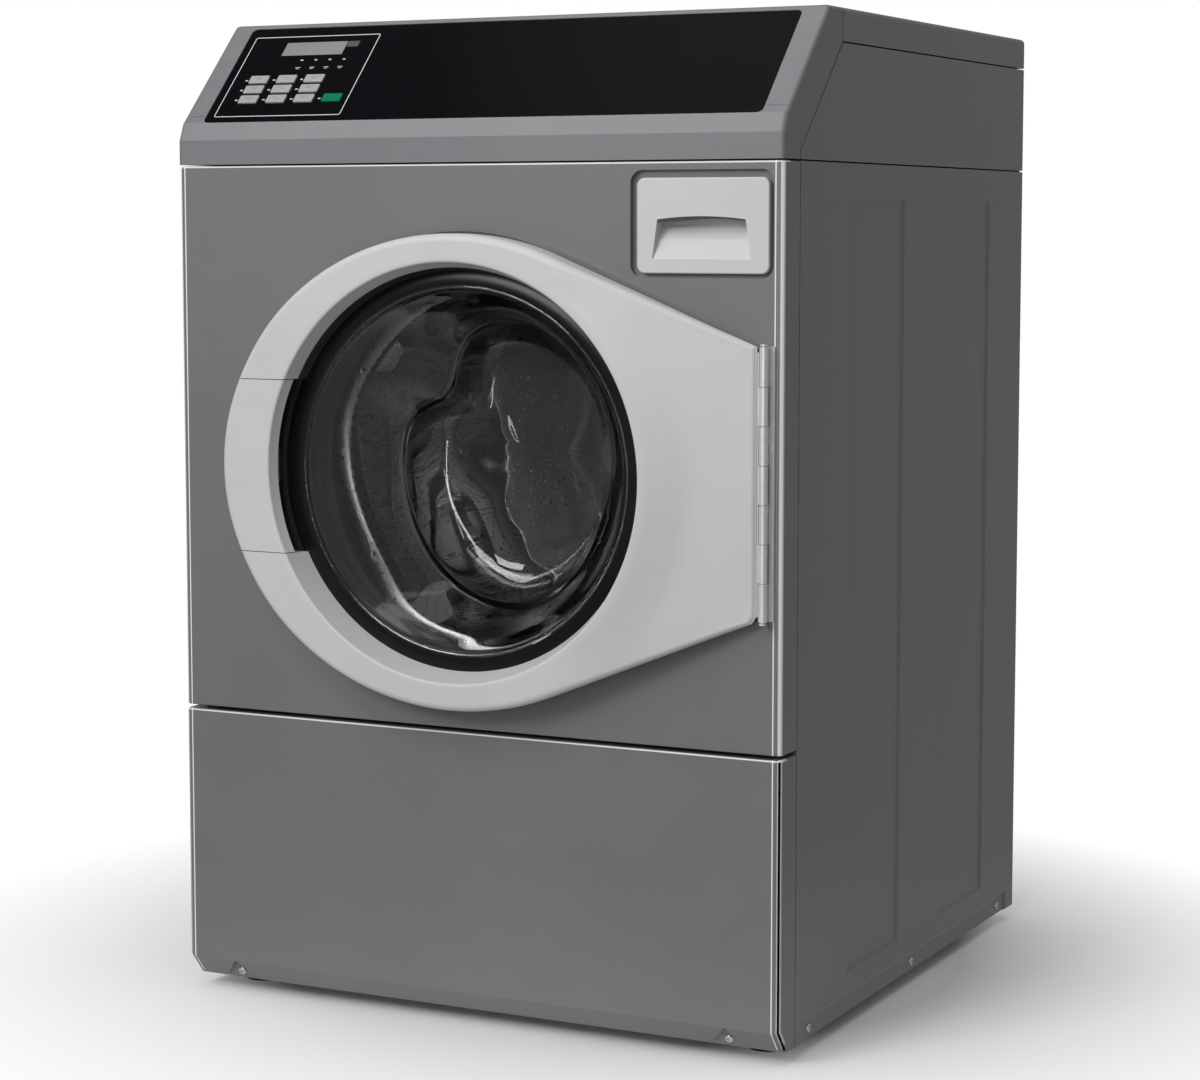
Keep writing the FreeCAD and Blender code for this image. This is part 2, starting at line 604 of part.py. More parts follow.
def console_holes(clear, n0, n1):
    holes = []
    for x, s in key_places().values():
        holes.append(rounded_plate(x - key_width / 2 - clear, x + key_width / 2 + clear,
                                   s - key_height / 2 - clear, s + key_height / 2 + clear, n0, n1, key_radius + clear))
    for x0, x1, s0, s1 in window_places():
        holes.append(rounded_plate(x0 - 0.1, x1 + 0.1, s0 - 0.1, s1 + 0.1, n0, n1, 0.9))
    for x, s in lamp_places():
        holes.append(rounded_plate(x - lamp_width / 2 - 0.1, x + lamp_width / 2 + 0.1, s - lamp_height / 2 - 0.1,
                                   s + lamp_height / 2 + 0.1, n0, n1, 0.5))
    return holes


def control_overlay():
    plate = rounded_plate(-overlay_half, overlay_half, overlay_low, overlay_high,
                          -overlay_sunk - overlay_thick, -overlay_sunk, 6.0)
    for hole in console_holes(key_clear, -12.0, 6.0):
        plate = plate.cut(hole)
    return on_slope(plate)


def key_cap(x, s):
    cap = rounded_plate(x - key_width / 2, x + key_width / 2, s - key_height / 2, s + key_height / 2,
                        -5.2, key_proud, key_radius)
    cap = cap.makeFillet(0.45, [e for e in cap.Edges if e.BoundBox.ZMin > key_proud - 1e-4])
    flange = rounded_plate(x - key_width / 2 - 1.4, x + key_width / 2 + 1.4, s - key_height / 2 - 1.2,
                           s + key_height / 2 + 1.2, -6.6, -5.2, key_radius)
    stem = Part.makeCylinder(2.2, 3.6, Vector(x, s, -10.2))
    return on_slope(cap.fuse(flange).fuse(stem))


def display_window():
    solids = []
    for x0, x1, s0, s1 in window_places():
        solids.append(on_slope(rounded_plate(x0, x1, s0, s1, -overlay_sunk - 1.7, -overlay_sunk - 0.15, 0.8)))
    return Part.makeCompound(solids)


def indicator_lamps():
    solids = []
    for x, s in lamp_places():
        solids.append(on_slope(rounded_plate(x - lamp_width / 2, x + lamp_width / 2, s - lamp_height / 2,
                                             s + lamp_height / 2, -6.0, -overlay_sunk - 0.05, 0.4)))
    return Part.makeCompound(solids)


def control_board():
    x0, x1 = key_first_x - 36, -130.0
    board = block(x0, x1, 22.0, 144.0, -board_depth() - 1.6, -board_depth())
    half_w, half_h = display_width / 2 + 3, display_height / 2 + 3
    display = block(display_x - half_w, display_x + half_w, display_s - half_h, display_s + half_h,
                    -board_depth(), -overlay_sunk - overlay_thick - 2.6)
    relay = block(x0 + 10, x0 + 40, 60, 90, -board_depth() - 22, -board_depth() - 1.6)
    transformer = block(-190.0, -145.0, 55, 95, -board_depth() - 34, -board_depth() - 1.6)
    return on_slope(board.fuse(display).fuse(relay).fuse(transformer))


# ---------------------------------------------------------------- door
def door_outline(grow, y):
    # ellipse joined by two tangents to the straight edge beside the hinge
    a, b = door_half_width + grow, door_half_height + grow
    ex, ez = door_edge_x + grow, door_edge_half + grow
    # slope m of the tangent through (ex, ez): (ez - m ex)^2 = a^2 m^2 + b^2
    qa, qb, qc = a * a - ex * ex, 2 * ex * ez, b * b - ez * ez
    m = (-qb - math.sqrt(qb * qb - 4 * qa * qc)) / (2 * qa)
    m = m if m < 0 else (-qb + math.sqrt(qb * qb - 4 * qa * qc)) / (2 * qa)
    c = ez - m * ex
    tx, tz = -a * a * m / c, b * b / c
    ellipse = Part.Ellipse(Vector(0, y, axis_z), a, b)
    ellipse.Axis = Vector(0, -1, 0)
    start = ellipse.parameter(Vector(tx, y, axis_z + tz))
    end = ellipse.parameter(Vector(tx, y, axis_z - tz))
    if end < start:
        end += 2 * math.pi
    arc = ellipse.toShape(start, end)
    if arc.BoundBox.XMin > -a + 1:
        arc = ellipse.toShape(end - 2 * math.pi, start)
    p = [Vector(tx, y, axis_z + tz), Vector(ex, y, axis_z + ez), Vector(ex, y, axis_z - ez),
         Vector(tx, y, axis_z - tz)]
    lines = [Part.makeLine(p[i], p[i + 1]) for i in range(3)]
    return Part.Wire(Part.__sortEdges__([arc] + lines))


def door_back_y():
    return front_y - door_panel_clear - inner_ring_thick


def door_face_cut(deeper):
    # what lies in front of the door's face once it falls towards the hinge
    y0 = front_y - door_thick + deeper
    y1 = front_y - door_edge_thick + deeper
    pts = [(door_flat_end, y0), (door_edge_x, y1), (door_edge_x + 30, y1 + 30 * (y1 - y0) / (door_edge_x - door_flat_end)),
           (door_edge_x + 30, y0 - 40), (door_flat_end, y0 - 40)]
    face = Part.Face(polygon([(x, y, axis_z - 400) for x, y in pts]))
    return face.extrude(Vector(0, 0, 800))


def door_body():
    y0 = front_y - door_thick
    body = prism_y(door_outline(0.0, y0), door_back_y() - y0)
    body = body.cut(door_face_cut(0.0))
    front_rim = lambda e: (e.BoundBox.YMax < door_back_y() - 1 and e.BoundBox.ZLength > 1.0
                           and not (e.BoundBox.XLength < 1e-3 and abs(e.BoundBox.XMin - door_flat_end) < 1e-3)
                           and e.BoundBox.YLength < door_thick - door_edge_thick + 1)
    return body.makeFillet(door_edge_round, [e for e in body.Edges if front_rim(e)])


def window_cone(grow, y0, y1):
    # tapering window opening, wide at the front
    front, back = front_y - door_thick, door_back_y()
    r = lambda y: window_front_radius + (window_back_radius - window_front_radius) * (y - front) / (back - front)
    return Part.makeCone(r(y0) + grow, r(y1) + grow, y1 - y0, Vector(0, y0, axis_z), Vector(0, 1, 0))


def door_outer_ring():
    y0, y1 = front_y - door_thick, door_back_y()
    body = door_body().cut(window_cone(0, y0 - 2, y1 + 2))
    # hollow from behind, leaving a skin
    core = prism_y(door_outline(-door_skin, y0 + door_skin), y1 - y0 - door_skin + 2)
    core = core.cut(door_face_cut(door_skin))
    core = core.cut(window_cone(door_skin, y0 - 2, y1 + 4))
    # a seat that stops short of the corner round keeps the skin even there
    core = core.cut(block(-door_half_width - 5, -door_half_width + 9, y0, y0 + 9, axis_z - 300, axis_z + 300))
    body = body.cut(core)
    # the grip section is a piece of its own
    body = body.cut(grip_space(grip_gap / 2))
    # leaf slot beside the hinge
    body = body.cut(block(door_edge_x - 24, door_edge_x + 2, front_y - hinge_out - hinge_leaf / 2 - 0.1,
                          front_y - hinge_out + hinge_leaf / 2 + 0.1, axis_z - door_edge_half + 4,
                          axis_z + door_edge_half - 4))
    return body.removeSplitter()


def grip_space(grow):
    # the part of the ring that the grip takes: left side, front layer only
    y0 = front_y - door_thick - 2
    return block(-door_half_width - 5, -150, y0, front_y - door_thick + 17.0 + grow,
                 axis_z + grip_low - grow, axis_z + grip_high + grow)


def door_grip():
    y0 = front_y - door_thick
    body = door_body().common(grip_space(-grip_gap / 2))
    body = body.cut(window_cone(0, y0 - 2, door_back_y() + 2))
    # finger pocket behind the lip
    pocket = window_cone(13.0, y0 + 7.0, y0 + 30.0).cut(window_cone(-30.0, y0 + 5.0, y0 + 32.0))
    pocket = pocket.common(block(-400, -100, y0 + 7.0, y0 + 30, axis_z + grip_low + 8, axis_z + grip_high - 8))
    return body.cut(pocket)


def door_inner_ring():
    y1 = front_y - door_panel_clear
    y0 = door_back_y()
    seat = rod_y(glass_rim_radius + 0.4, y0 - 1, y0 + glass_thick + 0.3)
    ring = rod_y(inner_ring_radius, y0, y1).cut(rod_y(inner_ring_hole, y0 - 1, y1 + 1)).cut(seat)
    rim = lambda e: e.BoundBox.YMin > y1 - 1e-3 and e.BoundBox.XLength > 1.9 * inner_ring_radius
    ring = ring.makeFillet(3.0, [e for e in ring.Edges if rim(e)])
    # hinge side tongue that closes the wedge from behind
    tongue = prism_y(door_outline(-door_skin - 1.0, y0), inner_ring_thick - 4.0)
    tongue = tongue.common(block(150, door_edge_x - 30, y0 - 1, y1 + 1, axis_z - 300, axis_z + 300))
    tongue = tongue.cut(rod_y(inner_ring_radius - 8, y0 - 1, y1 + 1))
    left = prism_y(door_outline(-door_skin - 1.0, y0), inner_ring_thick - 4.0)
    left = left.common(block(-300, -150, y0 - 1, y1 + 1, axis_z - 300, axis_z + 300))
    left = left.cut(rod_y(inner_ring_radius - 8, y0 - 1, y1 + 1))
    ring = ring.fuse(tongue).fuse(left)
    ring = ring.cut(block(catch_x - 2, catch_x + 2, y0 - 1, y1 + 1, axis_z - 11, axis_z + 11))
    return ring.removeSplitter()


def dome_arc(radius, y, rise):
    # shallow dome over a circle, as an arc from its edge to the axis
    ball = (radius * radius + rise * rise) / (2 * rise)
    half = math.asin(radius / ball) / 2
    middle = Vector(ball * math.sin(half), y + rise - ball + ball * math.cos(half), axis_z)
    return Part.Arc(Vector(radius, y, axis_z), middle, Vector(0, y + rise, axis_z)).toShape()


def door_glass():
    # pressed glass bowl: a flat rim, a tapering wall and a slightly domed nose
    y0, t, z = door_back_y() + 0.2, glass_thick, axis_z
    nose_y = front_y + glass_depth - glass_nose_round
    flat_radius = glass_nose_radius - glass_nose_round
    k = math.sqrt(0.5)
    throat = Vector(glass_throat_radius, y0 + 3, z)
    edges = [
        Part.makeLine(Vector(glass_rim_radius, y0, z), Vector(glass_throat_radius + 3, y0, z)),
        Part.Arc(Vector(glass_throat_radius + 3, y0, z), throat + Vector(3 - 3 * k, -3 * k, 0), throat).toShape(),
        Part.makeLine(throat, Vector(glass_nose_radius, nose_y, z)),
    ]
    for radius, out in ((glass_nose_round, 0.0), (glass_nose_round + t, t)):
        start, end = Vector(flat_radius + radius, nose_y, z), Vector(flat_radius, nose_y + radius, z)
        middle = Vector(flat_radius + radius * k, nose_y + radius * k, z)
        edges.append(Part.Arc(start, middle, end).toShape())
        edges.append(dome_arc(flat_radius, nose_y + radius, glass_dome))
    bottom = nose_y + glass_nose_round + glass_dome
    edges.append(Part.makeLine(Vector(0, bottom, z), Vector(0, bottom + t, z)))
    shoulder = Vector(glass_throat_radius + t, y0 + t, z)
    edges.append(Part.makeLine(Vector(glass_nose_radius + t, nose_y, z), shoulder))
    edges.append(Part.makeLine(shoulder, Vector(glass_rim_radius, y0 + t, z)))
    edges.append(Part.makeLine(Vector(glass_rim_radius, y0 + t, z), Vector(glass_rim_radius, y0, z)))
    face = Part.Face(Part.Wire(Part.__sortEdges__(edges)))
    return face.revolve(Vector(0, 0, z), Vector(0, 1, 0), 360)


def hinge_spans():
    length = 2 * door_edge_half
    gap = 0.6
    pitch = length / hinge_knuckles
    low = axis_z - door_edge_half
    return [(low + i * pitch + gap / 2, low + (i + 1) * pitch - gap / 2) for i in range(hinge_knuckles)]


def barrel(z0, z1):
    return rod_z(hinge_barrel_radius, hinge_x, front_y - hinge_out, z0, z1)


def door_hinge_leaf():
    # leaf, its knuckles and the pin that is pressed into them
    y = front_y - hinge_out
    z0, z1 = axis_z - door_edge_half, axis_z + door_edge_half
    shape = block(door_edge_x - 22, hinge_x - hinge_barrel_radius - 0.6, y - hinge_leaf / 2, y + hinge_leaf / 2,
                  z0 + 5, z1 - 5)
    for a, b in hinge_spans()[1::2]:
        web = block(door_edge_x - 2, hinge_x, y - hinge_leaf / 2, y + hinge_leaf / 2, a, b)
        shape = shape.fuse(barrel(a, b)).fuse(web)
    pin = rod_z(hinge_pin_radius, hinge_x, y, z0 - 1.0, z1 + 1.0)
    for a in (z0 - 2.6, z1 + 1.0):
        pin = pin.fuse(rod_z(hinge_barrel_radius - 0.6, hinge_x, y, a, a + 1.6))
    return shape.fuse(pin).removeSplitter()


def cabinet_hinge_leaf():
    y = front_y - hinge_out
    x1 = half_width - corner_radius
    shape = block(hinge_x - 6.5, x1, front_y - hinge_leaf - 0.05, front_y - 0.05, axis_z - door_edge_half,
                  axis_z + door_edge_half)
    for a, b in hinge_spans()[0::2]:
        web = block(hinge_x - 0.8, hinge_x + 1.8, y + hinge_pin_radius + 0.6, front_y - hinge_leaf, a, b)
        shape = shape.fuse(barrel(a, b)).fuse(web)
        shape = shape.cut(rod_z(hinge_pin_radius + running_clear, hinge_x, y, a - 1, b + 1))
    for i in range(4):
        z = axis_z - door_edge_half + 30 + i * (2 * door_edge_half - 60) / 3
        shape = shape.fuse(Part.makeCylinder(2.6, 1.0, Vector(hinge_x + 4.6, front_y - hinge_leaf + 0.02, z),
                                             Vector(0, -1, 0)))
    return shape.removeSplitter()


def door_catch():
    y0, y1 = door_back_y(), front_y + 20.0
    plate = block(catch_x - 1.5, catch_x + 1.5, y0, y1, axis_z - 10, axis_z + 10)
    plate = plate.cut(block(catch_x - 3, catch_x + 3, front_y + 8, front_y + 15, axis_z - 5, axis_z + 5))
    base = block(catch_x - 9, catch_x + 9, y0 - 2.5, y0, axis_z - 18, axis_z + 18)
    return plate.fuse(base)


def door_lock():
    y0 = front_y + sheet + 0.3
    body = block(catch_x - 22, catch_x + 12, y0, y0 + 34, axis_z - 34, axis_z + 34)
    slot = block(catch_x - 4, catch_x + 4, y0 - 1, y0 + 27, axis_z - 14, axis_z + 14)
    body = body.cut(slot)
    return body.fuse(block(catch_x - 18, catch_x + 8, y0 + 6, y0 + 30, axis_z - 52, axis_z - 34))


# ---------------------------------------------------------------- detergent drawer
def tray_box():
    z0 = skirt_z + drawer_bottom + 9.0
    z1 = skirt_z + drawer_top - 7.0
    y0 = front_y + drawer_face_thick - 1.0
    return drawer_left + 8.0, drawer_right - 8.0, y0, y0 + tray_length, z0, z1


def tray_hole(clear):
    x0, x1, y0, y1, z0, z1 = tray_box()
    return x0 - clear, x1 + clear, front_y - 5, front_y + 20, z0 - clear, z1 + clear


def drawer_front():
    z0, z1 = skirt_z + drawer_bottom, skirt_z + drawer_top
    y0 = front_y - 1.5
    y1 = front_y + drawer_recess - drawer_gap
    wire = rounded_rect(drawer_left, drawer_right, z0, z1, drawer_corner, y0)
    plate = prism_y(wire, y1 - y0)
    plate = plate.makeFillet(1.6, [e for e in plate.Edges if e.BoundBox.YMax < y0 + 1e-3])
    x0, x1, ty, _, tz0, tz1 = tray_box()
    neck = block(x0 + 1.0, x1 - 1.0, y1 - 0.5, ty, tz0 + 1.0, tz1 - 1.0)
    body = plate.fuse(neck)
    # scoop that deepens upwards under an arched lip, with a hollow behind the lip for the fingertips
    px0, px1 = drawer_left + pull_left, drawer_right - pull_right
    pz0, pz1 = z0 + pull_low, z1 - pull_high
    back = y0 + pull_depth
    corners = [Vector(px1, y0 - 1, pz0), Vector(px1 - pull_taper, y0 - 1, pz1 - pull_arch),
               Vector(px0 + pull_taper, y0 - 1, pz1 - pull_arch), Vector(px0, y0 - 1, pz0)]
    crown = Part.Arc(corners[1], Vector((px0 + px1) / 2, y0 - 1, pz1), corners[2]).toShape()
    outline = Part.Wire([Part.makeLine(corners[0], corners[1]), crown, Part.makeLine(corners[2], corners[3]),
                         Part.makeLine(corners[3], corners[0])])
    profile = [(y0 - 1, pz0 - 2), (y0 - 1, pz1 + 1), (back, pz1 + 1), (back, pz1 - 8), (y0 + 8, pz0 + 19),
               (y0 + 1.0, pz0)]
    scoop = prism_y(outline, pull_depth + 1).common(prism_x(profile, px0, px1))
    hook = block(px0 + pull_taper + 2, px1 - pull_taper - 2, y0 + pull_lip, back, pz1 - pull_arch - 1, pz1 + 9.0)
    return body.cut(scoop).cut(hook).removeSplitter()


def drawer_tray():
    x0, x1, y0, y1, z0, z1 = tray_box()
    t = tray_wall
    y0 += 0.3
    outer = block(x0, x1, y0, y1, z0, z1)
    first, second = x0 + (x1 - x0) * 0.36, x0 + (x1 - x0) * 0.68
    for a, b in ((x0 + t, first - t / 2), (first + t / 2, second - t / 2), (second + t / 2, x1 - t)):
        outer = outer.cut(block(a, b, y0 + t, y1 - t, z0 + t, z1 + 5))
    stop = block(x0 + 20, x1 - 20, y1 - 3, y1, z0 - 3.0, z0 + 1)
    return outer.fuse(stop)


def dispenser_housing():
    x0, x1, y0, y1, z0, z1 = tray_box()
    gap, t = 1.2, 2.5
    ya = front_y + drawer_recess + sheet + 0.6
    yb = y1 + 6.0
    xa, xb, za, zb = x0 - gap, x1 + gap, z0 - 4.5, z1 + gap + 5
    outer = block(xa - t, min(xb + t, half_width - sheet - rib_depth - 0.5), ya, yb + t, za - t, zb + t)
    housing = outer.cut(block(xa, xb, ya - 1, yb, za, zb))
    spout_x = (xa + xb) / 2 - 25
    spout = rod_z(14, spout_x, yb - 30, za - t - 14, za - t / 2).cut(rod_z(11, spout_x, yb - 30, za - t - 20, za + 1))
    housing = housing.fuse(spout).cut(rod_z(11, spout_x, yb - 30, za - t - 20, za + 1))
    inlet = rod_y(9, yb + t / 2, yb + t + 16, xa + 30, zb - 14)
    housing = housing.fuse(inlet).cut(rod_y(6.5, yb - 1, yb + t + 20, xa + 30, zb - 14))
    return housing


# ---------------------------------------------------------------- drum
def drum_shell():
    y0, y1, t = drum_front_y, drum_back_y, drum_sheet
    outer, mouth = drum_radius, drum_mouth_radius
    points = [(mouth, y0 + 12), (mouth, y0 + 2), (mouth + 4, y0), (outer, y0), (outer, y1), (40, y1),
              (40, y1 - t), (outer - t, y1 - t), (outer - t, y0 + t), (mouth + 5, y0 + t), (mouth + t, y0 + 4),
              (mouth + t, y0 + 12)]
    return turned(points)


def lifter_form(inset):
    # three-sided paddle along the drum's wall; inset makes the smaller form that hollows it out
    r = drum_radius - drum_sheet
    length = lifter_length - 2 * inset
    y0 = drum_front_y + (drum_depth - length) / 2
    half, top = lifter_width / 2 - inset, lifter_width * 0.2 - inset
    base, height = r - 3.0, lifter_height - inset
    outline = [(-half, base + 20), (-half, base - 2), (-top - 6, base - height + 10), (-top, base - height),
               (top, base - height), (top + 6, base - height + 10), (half, base - 2), (half, base + 20)]
    face = Part.Face(polygon([(x, y0, axis_z + z) for x, z in outline]))
    body = face.extrude(Vector(0, length, 0))
    ends = [(y0 - 1, base - height - 5), (y0 + 46, base - height - 5), (y0 - 1, base - 4)]
    for flip in (False, True):
        pts = [((2 * y0 + length - y) if flip else y, axis_z + z) for y, z in ends]
        body = body.cut(prism_x(pts, -200, 200))
    return body


def lifter(angle):
    y0 = drum_front_y
    body = lifter_form(0.0).common(rod_y(drum_radius - drum_sheet, y0, y0 + drum_depth)).cut(lifter_form(lifter_sheet))
    body.rotate(Vector(0, 0, axis_z), Vector(0, 1, 0), angle)
    return body


def drum_lifters():
    return Part.makeCompound([lifter(60.0 + i * 360.0 / lifter_count) for i in range(lifter_count)])


def drum_spider():
    y0, y1 = drum_back_y, drum_back_y + spider_thick
    hub = rod_y(42, y0, y1)
    shape = hub
    reach = drum_radius - 12
    for i in range(3):
        arm = block(-18, 18, y0, y1 - 4, axis_z, axis_z + reach)
        arm = arm.cut(prism_x([(y1 - 12, axis_z + reach + 1), (y1 + 1, axis_z + reach + 1), (y1 + 1, axis_z + 60)],
                              -30, 30))
        arm.rotate(Vector(0, 0, axis_z), Vector(0, 1, 0), 120.0 * i)
        shape = shape.fuse(arm)
    shaft = rod_y(shaft_radius, y0 + 2, pulley_y + pulley_width + 8)
    plug = rod_y(39.8, y0 - drum_sheet, y0 + 2)
    return shape.fuse(shaft).fuse(plug).removeSplitter()


def drive_pulley():
    y0, y1 = pulley_y, pulley_y + pulley_width
    rim = rod_y(pulley_radius, y0, y1).cut(rod_y(pulley_radius - 9, y0 - 1, y1 + 1))
    hub = rod_y(30, y0 - 4, y1 + 4)
    web = rod_y(pulley_radius - 8, y0 + 7, y0 + 12)
    for i in range(6):
        a = math.radians(60 * i)
        web = web.cut(rod_y(27, y0, y1, 88 * math.cos(a), axis_z + 88 * math.sin(a)))
    shape = rim.fuse(web).fuse(hub)
    for i in range(5):
        y = y0 + 3 + i * 3.5
        groove = rod_y(pulley_radius + 1, y - 0.7, y + 0.7).cut(rod_y(pulley_radius - 1.6, y - 1, y + 1))
        shape = shape.cut(groove)
    return shape.cut(rod_y(shaft_radius, y0 - 10, y1 + 10)).removeSplitter()


# ---------------------------------------------------------------- tub and what it carries
def tub_mouth_front():
    return tub_front_y - 14.0


def tub_front():
    y0, y1 = tub_front_y, tub_front_y + tub_split
    r, t = tub_radius, tub_wall
    points = [(tub_mouth_radius, tub_mouth_front()), (tub_mouth_radius + 4, tub_mouth_front()),
              (tub_mouth_radius + 4, y0), (r - 12, y0), (r, y0 + 12), (r, y1 - 8), (r + tub_flange, y1 - 8),
              (r + tub_flange, y1),
              (r - t, y1), (r - t, y0 + 14), (r - 14, y0 + t), (tub_mouth_radius, y0 + t)]
    return turned(points)


def tub_rear():
    y0, y1 = tub_front_y + tub_split, tub_back_y + tub_wall
    r, t = tub_radius, tub_wall
    points = [(r - t, y0), (r + tub_flange, y0), (r + tub_flange, y0 + 8), (r, y0 + 8), (r, y1 - 14), (r - 14, y1), (50, y1),
              (50, y1 - t), (r - 16, y1 - t), (r - t, y1 - 16)]
    shape = turned(points)
    for i in range(12):                         # ribs on the back wall
        rib = block(-2.5, 2.5, y1 - 1, y1 + 12, axis_z + 98, axis_z + r - 24)
        rib.rotate(Vector(0, 0, axis_z), Vector(0, 1, 0), 30.0 * i + 15)
        shape = shape.fuse(rib)
    for side in (1, -1):
        for y in (damper_front, damper_rear):   # damper lugs
            lug = block(side * damper_x - 13, side * damper_x + 13, front_y + y - 13, front_y + y + 13,
                        damper_top(), axis_z - 60)
            shape = shape.fuse(lug.cut(rod_y(r - 1, y0 - 100, y1 + 100)))
        for y in spring_places():               # spring lugs
            xs = sorted((side * (spring_x + 9), side * (tub_radius - 30)))
            lug = block(xs[0], xs[1], y - 12, y + 12, spring_low() - 8, spring_low())
            lug = lug.cut(rod_y(r - 1, y0 - 200, y1 + 100))
            shape = shape.fuse(lug.cut(rod_z(spring_wire + 0.6, side * spring_x, y, spring_low() - 20, spring_low() + 9)))
    # sump outlet under the tub
    outlet = rod_z(20, sump_x(), sump_y(), axis_z - r - 12, axis_z - r * 0.86).cut(rod_y(r - 1, y0, y1))
    shape = shape.fuse(outlet)
    shape = shape.cut(rod_z(16, sump_x(), sump_y(), axis_z - r - 20, axis_z - r * 0.8))
    return shape.removeSplitter()


def sump_x():
    return -70.0


def sump_y():
    return front_y + 210.0


def spring_places():
    return [front_y + spring_front, front_y + spring_rear]


def spring_low():
    return axis_z + 76.0


def damper_top():
    return axis_z - math.sqrt(tub_radius ** 2 - damper_x ** 2) - 22.0


def bearing_housing():
    y0 = tub_back_y + tub_wall
    y1 = y0 + housing_length
    points = [(22, y0 - housing_spigot), (49.5, y0 - housing_spigot), (49.5, y0), (95, y0), (95, y0 + 8), (58, y0 + 16),
              (46, y1), (22, y1)]
    shape = turned(points)
    for i in range(6):
        a = math.radians(60 * i + 30)
        shape = shape.cut(rod_y(4.3, y0 - 1, y0 + 20, 80 * math.cos(a), axis_z + 80 * math.sin(a)))
    shape = shape.cut(rod_y(front_bearing_radius, y0 - 6, y0 + front_bearing_end))
    return shape.cut(rod_y(rear_bearing_radius, y1 - rear_bearing_width, y1 + 1))


def shaft_bearings():
    y0 = tub_back_y + tub_wall
    y1 = y0 + housing_length
    bore = shaft_radius + running_clear
    rings = []
    for radius, lo, hi, r_mid in ((front_bearing_radius, y0 - housing_spigot + 0.5, y0 + front_bearing_end, 25.5),
                                  (rear_bearing_radius, y1 - rear_bearing_width, y1, 23.0)):
        ring = rod_y(radius, lo, hi).cut(rod_y(bore, lo - 1, hi + 1))
        for a, b in ((lo, lo + 1.2), (hi - 1.2, hi)):       # groove between the races, on both faces
            ring = ring.cut(rod_y(r_mid + 5, a - 0.1, b + 0.1).cut(rod_y(r_mid - 5, a - 1, b + 1)))
        rings.append(ring)
    return Part.makeCompound(rings)


def belt_loop(gap, y):
    # tangent line loop round both pulleys
    r1, r2 = pulley_radius + gap, motor_pulley_radius + gap
    cx, cz = motor_x, -motor_drop
    d = math.hypot(cx, cz)
    base = math.atan2(cz, cx)
    lean = math.acos((r1 - r2) / d)
    pts = []
    for sign in (1, -1):
        a = base + sign * lean
        pts.append((Vector(r1 * math.cos(a), y, axis_z + r1 * math.sin(a)),
                    Vector(cx + r2 * math.cos(a), y, axis_z + cz + r2 * math.sin(a))))
    far1 = Vector(-r1 * math.cos(base), y, axis_z - r1 * math.sin(base))
    far2 = Vector(cx + r2 * math.cos(base), y, axis_z + cz + r2 * math.sin(base))
    edges = [Part.Arc(pts[0][0], far1, pts[1][0]).toShape(), Part.makeLine(pts[1][0], pts[1][1]),
             Part.Arc(pts[1][1], far2, pts[0][1]).toShape(), Part.makeLine(pts[0][1], pts[0][0])]
    return Part.Wire(edges)


def drive_belt():
    y0, width = pulley_y + 1.5, pulley_width - 3.0
    return prism_y(belt_loop(belt_clear + belt_thick, y0), width).cut(
        prism_y(belt_loop(belt_clear, y0 - 1), width + 2))


def motor_housing():
    z = axis_z - motor_drop
    y1 = pulley_y - 14.0
    y0 = y1 - motor_length
    body = rod_y(motor_radius, y0 + 16, y1 - 16, motor_x, z)
    for a, b in ((y0, y0 + 16), (y1 - 16, y1)):
        body = body.fuse(rod_y(motor_radius - 6, a, b, motor_x, z))
    for i in range(18):
        fin = block(motor_x - 1.2, motor_x + 1.2, y0 + 24, y1 - 24, z + motor_radius - 1, z + motor_radius + 3.5)
        fin.rotate(Vector(motor_x, 0, z), Vector(0, 1, 0), 20.0 * i)
        body = body.fuse(fin)
    for k in (-1, 1):                           # lugs that hang the motor under the tub
        lug = block(motor_x + k * 44 - 9, motor_x + k * 44 + 9, y0 + 40, y1 - 40, z + 20, axis_z - tub_radius * 0.8)
        body = body.fuse(lug.cut(rod_y(tub_radius, y0 - 100, y1 + 100)))
    body = body.cut(rod_y(motor_radius - motor_wall, y0 + motor_cap, y1 - motor_cap, motor_x, z))
    return body.cut(rod_y(9.0 + running_clear, y0 + 10, y1 + 1, motor_x, z)).removeSplitter()


def motor_pulley():
    z = axis_z - motor_drop
    y1 = pulley_y - 14.0
    shaft = rod_y(9.0, y1 - motor_length + 10.5, pulley_y + pulley_width + 2, motor_x, z)
    wheel = rod_y(motor_pulley_radius, pulley_y - 2, pulley_y + pulley_width + 1, motor_x, z)
    for i in range(5):
        y = pulley_y + 3 + i * 3.5
        groove = rod_y(motor_pulley_radius + 1, y - 0.7, y + 0.7, motor_x, z).cut(
            rod_y(motor_pulley_radius - 1.6, y - 1, y + 1, motor_x, z))
        wheel = wheel.cut(groove)
    return shaft.fuse(wheel).removeSplitter()


def counterweights():
    # concrete block on top of the tub, and two half moons on its front
    r = tub_radius
    y0, y1 = tub_front_y + tub_split + 20, tub_front_y + tub_split + 230
    top = block(-130, 130, y0, y1, axis_z + r * 0.85, axis_z + r + 34)
    top = top.cut(rod_y(r, y0 - 1, y1 + 1))
    moons = []
    ya, yb = tub_front_y - 24.0, tub_front_y
    ring = rod_y(r - 4, ya, yb).cut(rod_y(tub_mouth_radius + 12, ya - 1, yb + 1))
    for z0, z1 in ((axis_z + 70, axis_z + r), (axis_z - r, axis_z - 70)):
        moons.append(ring.common(block(-r, r, ya, yb, z0, z1)))
    solids = [s for shape in [top] + moons for s in shape.Solids]
    return Part.makeCompound(solids)


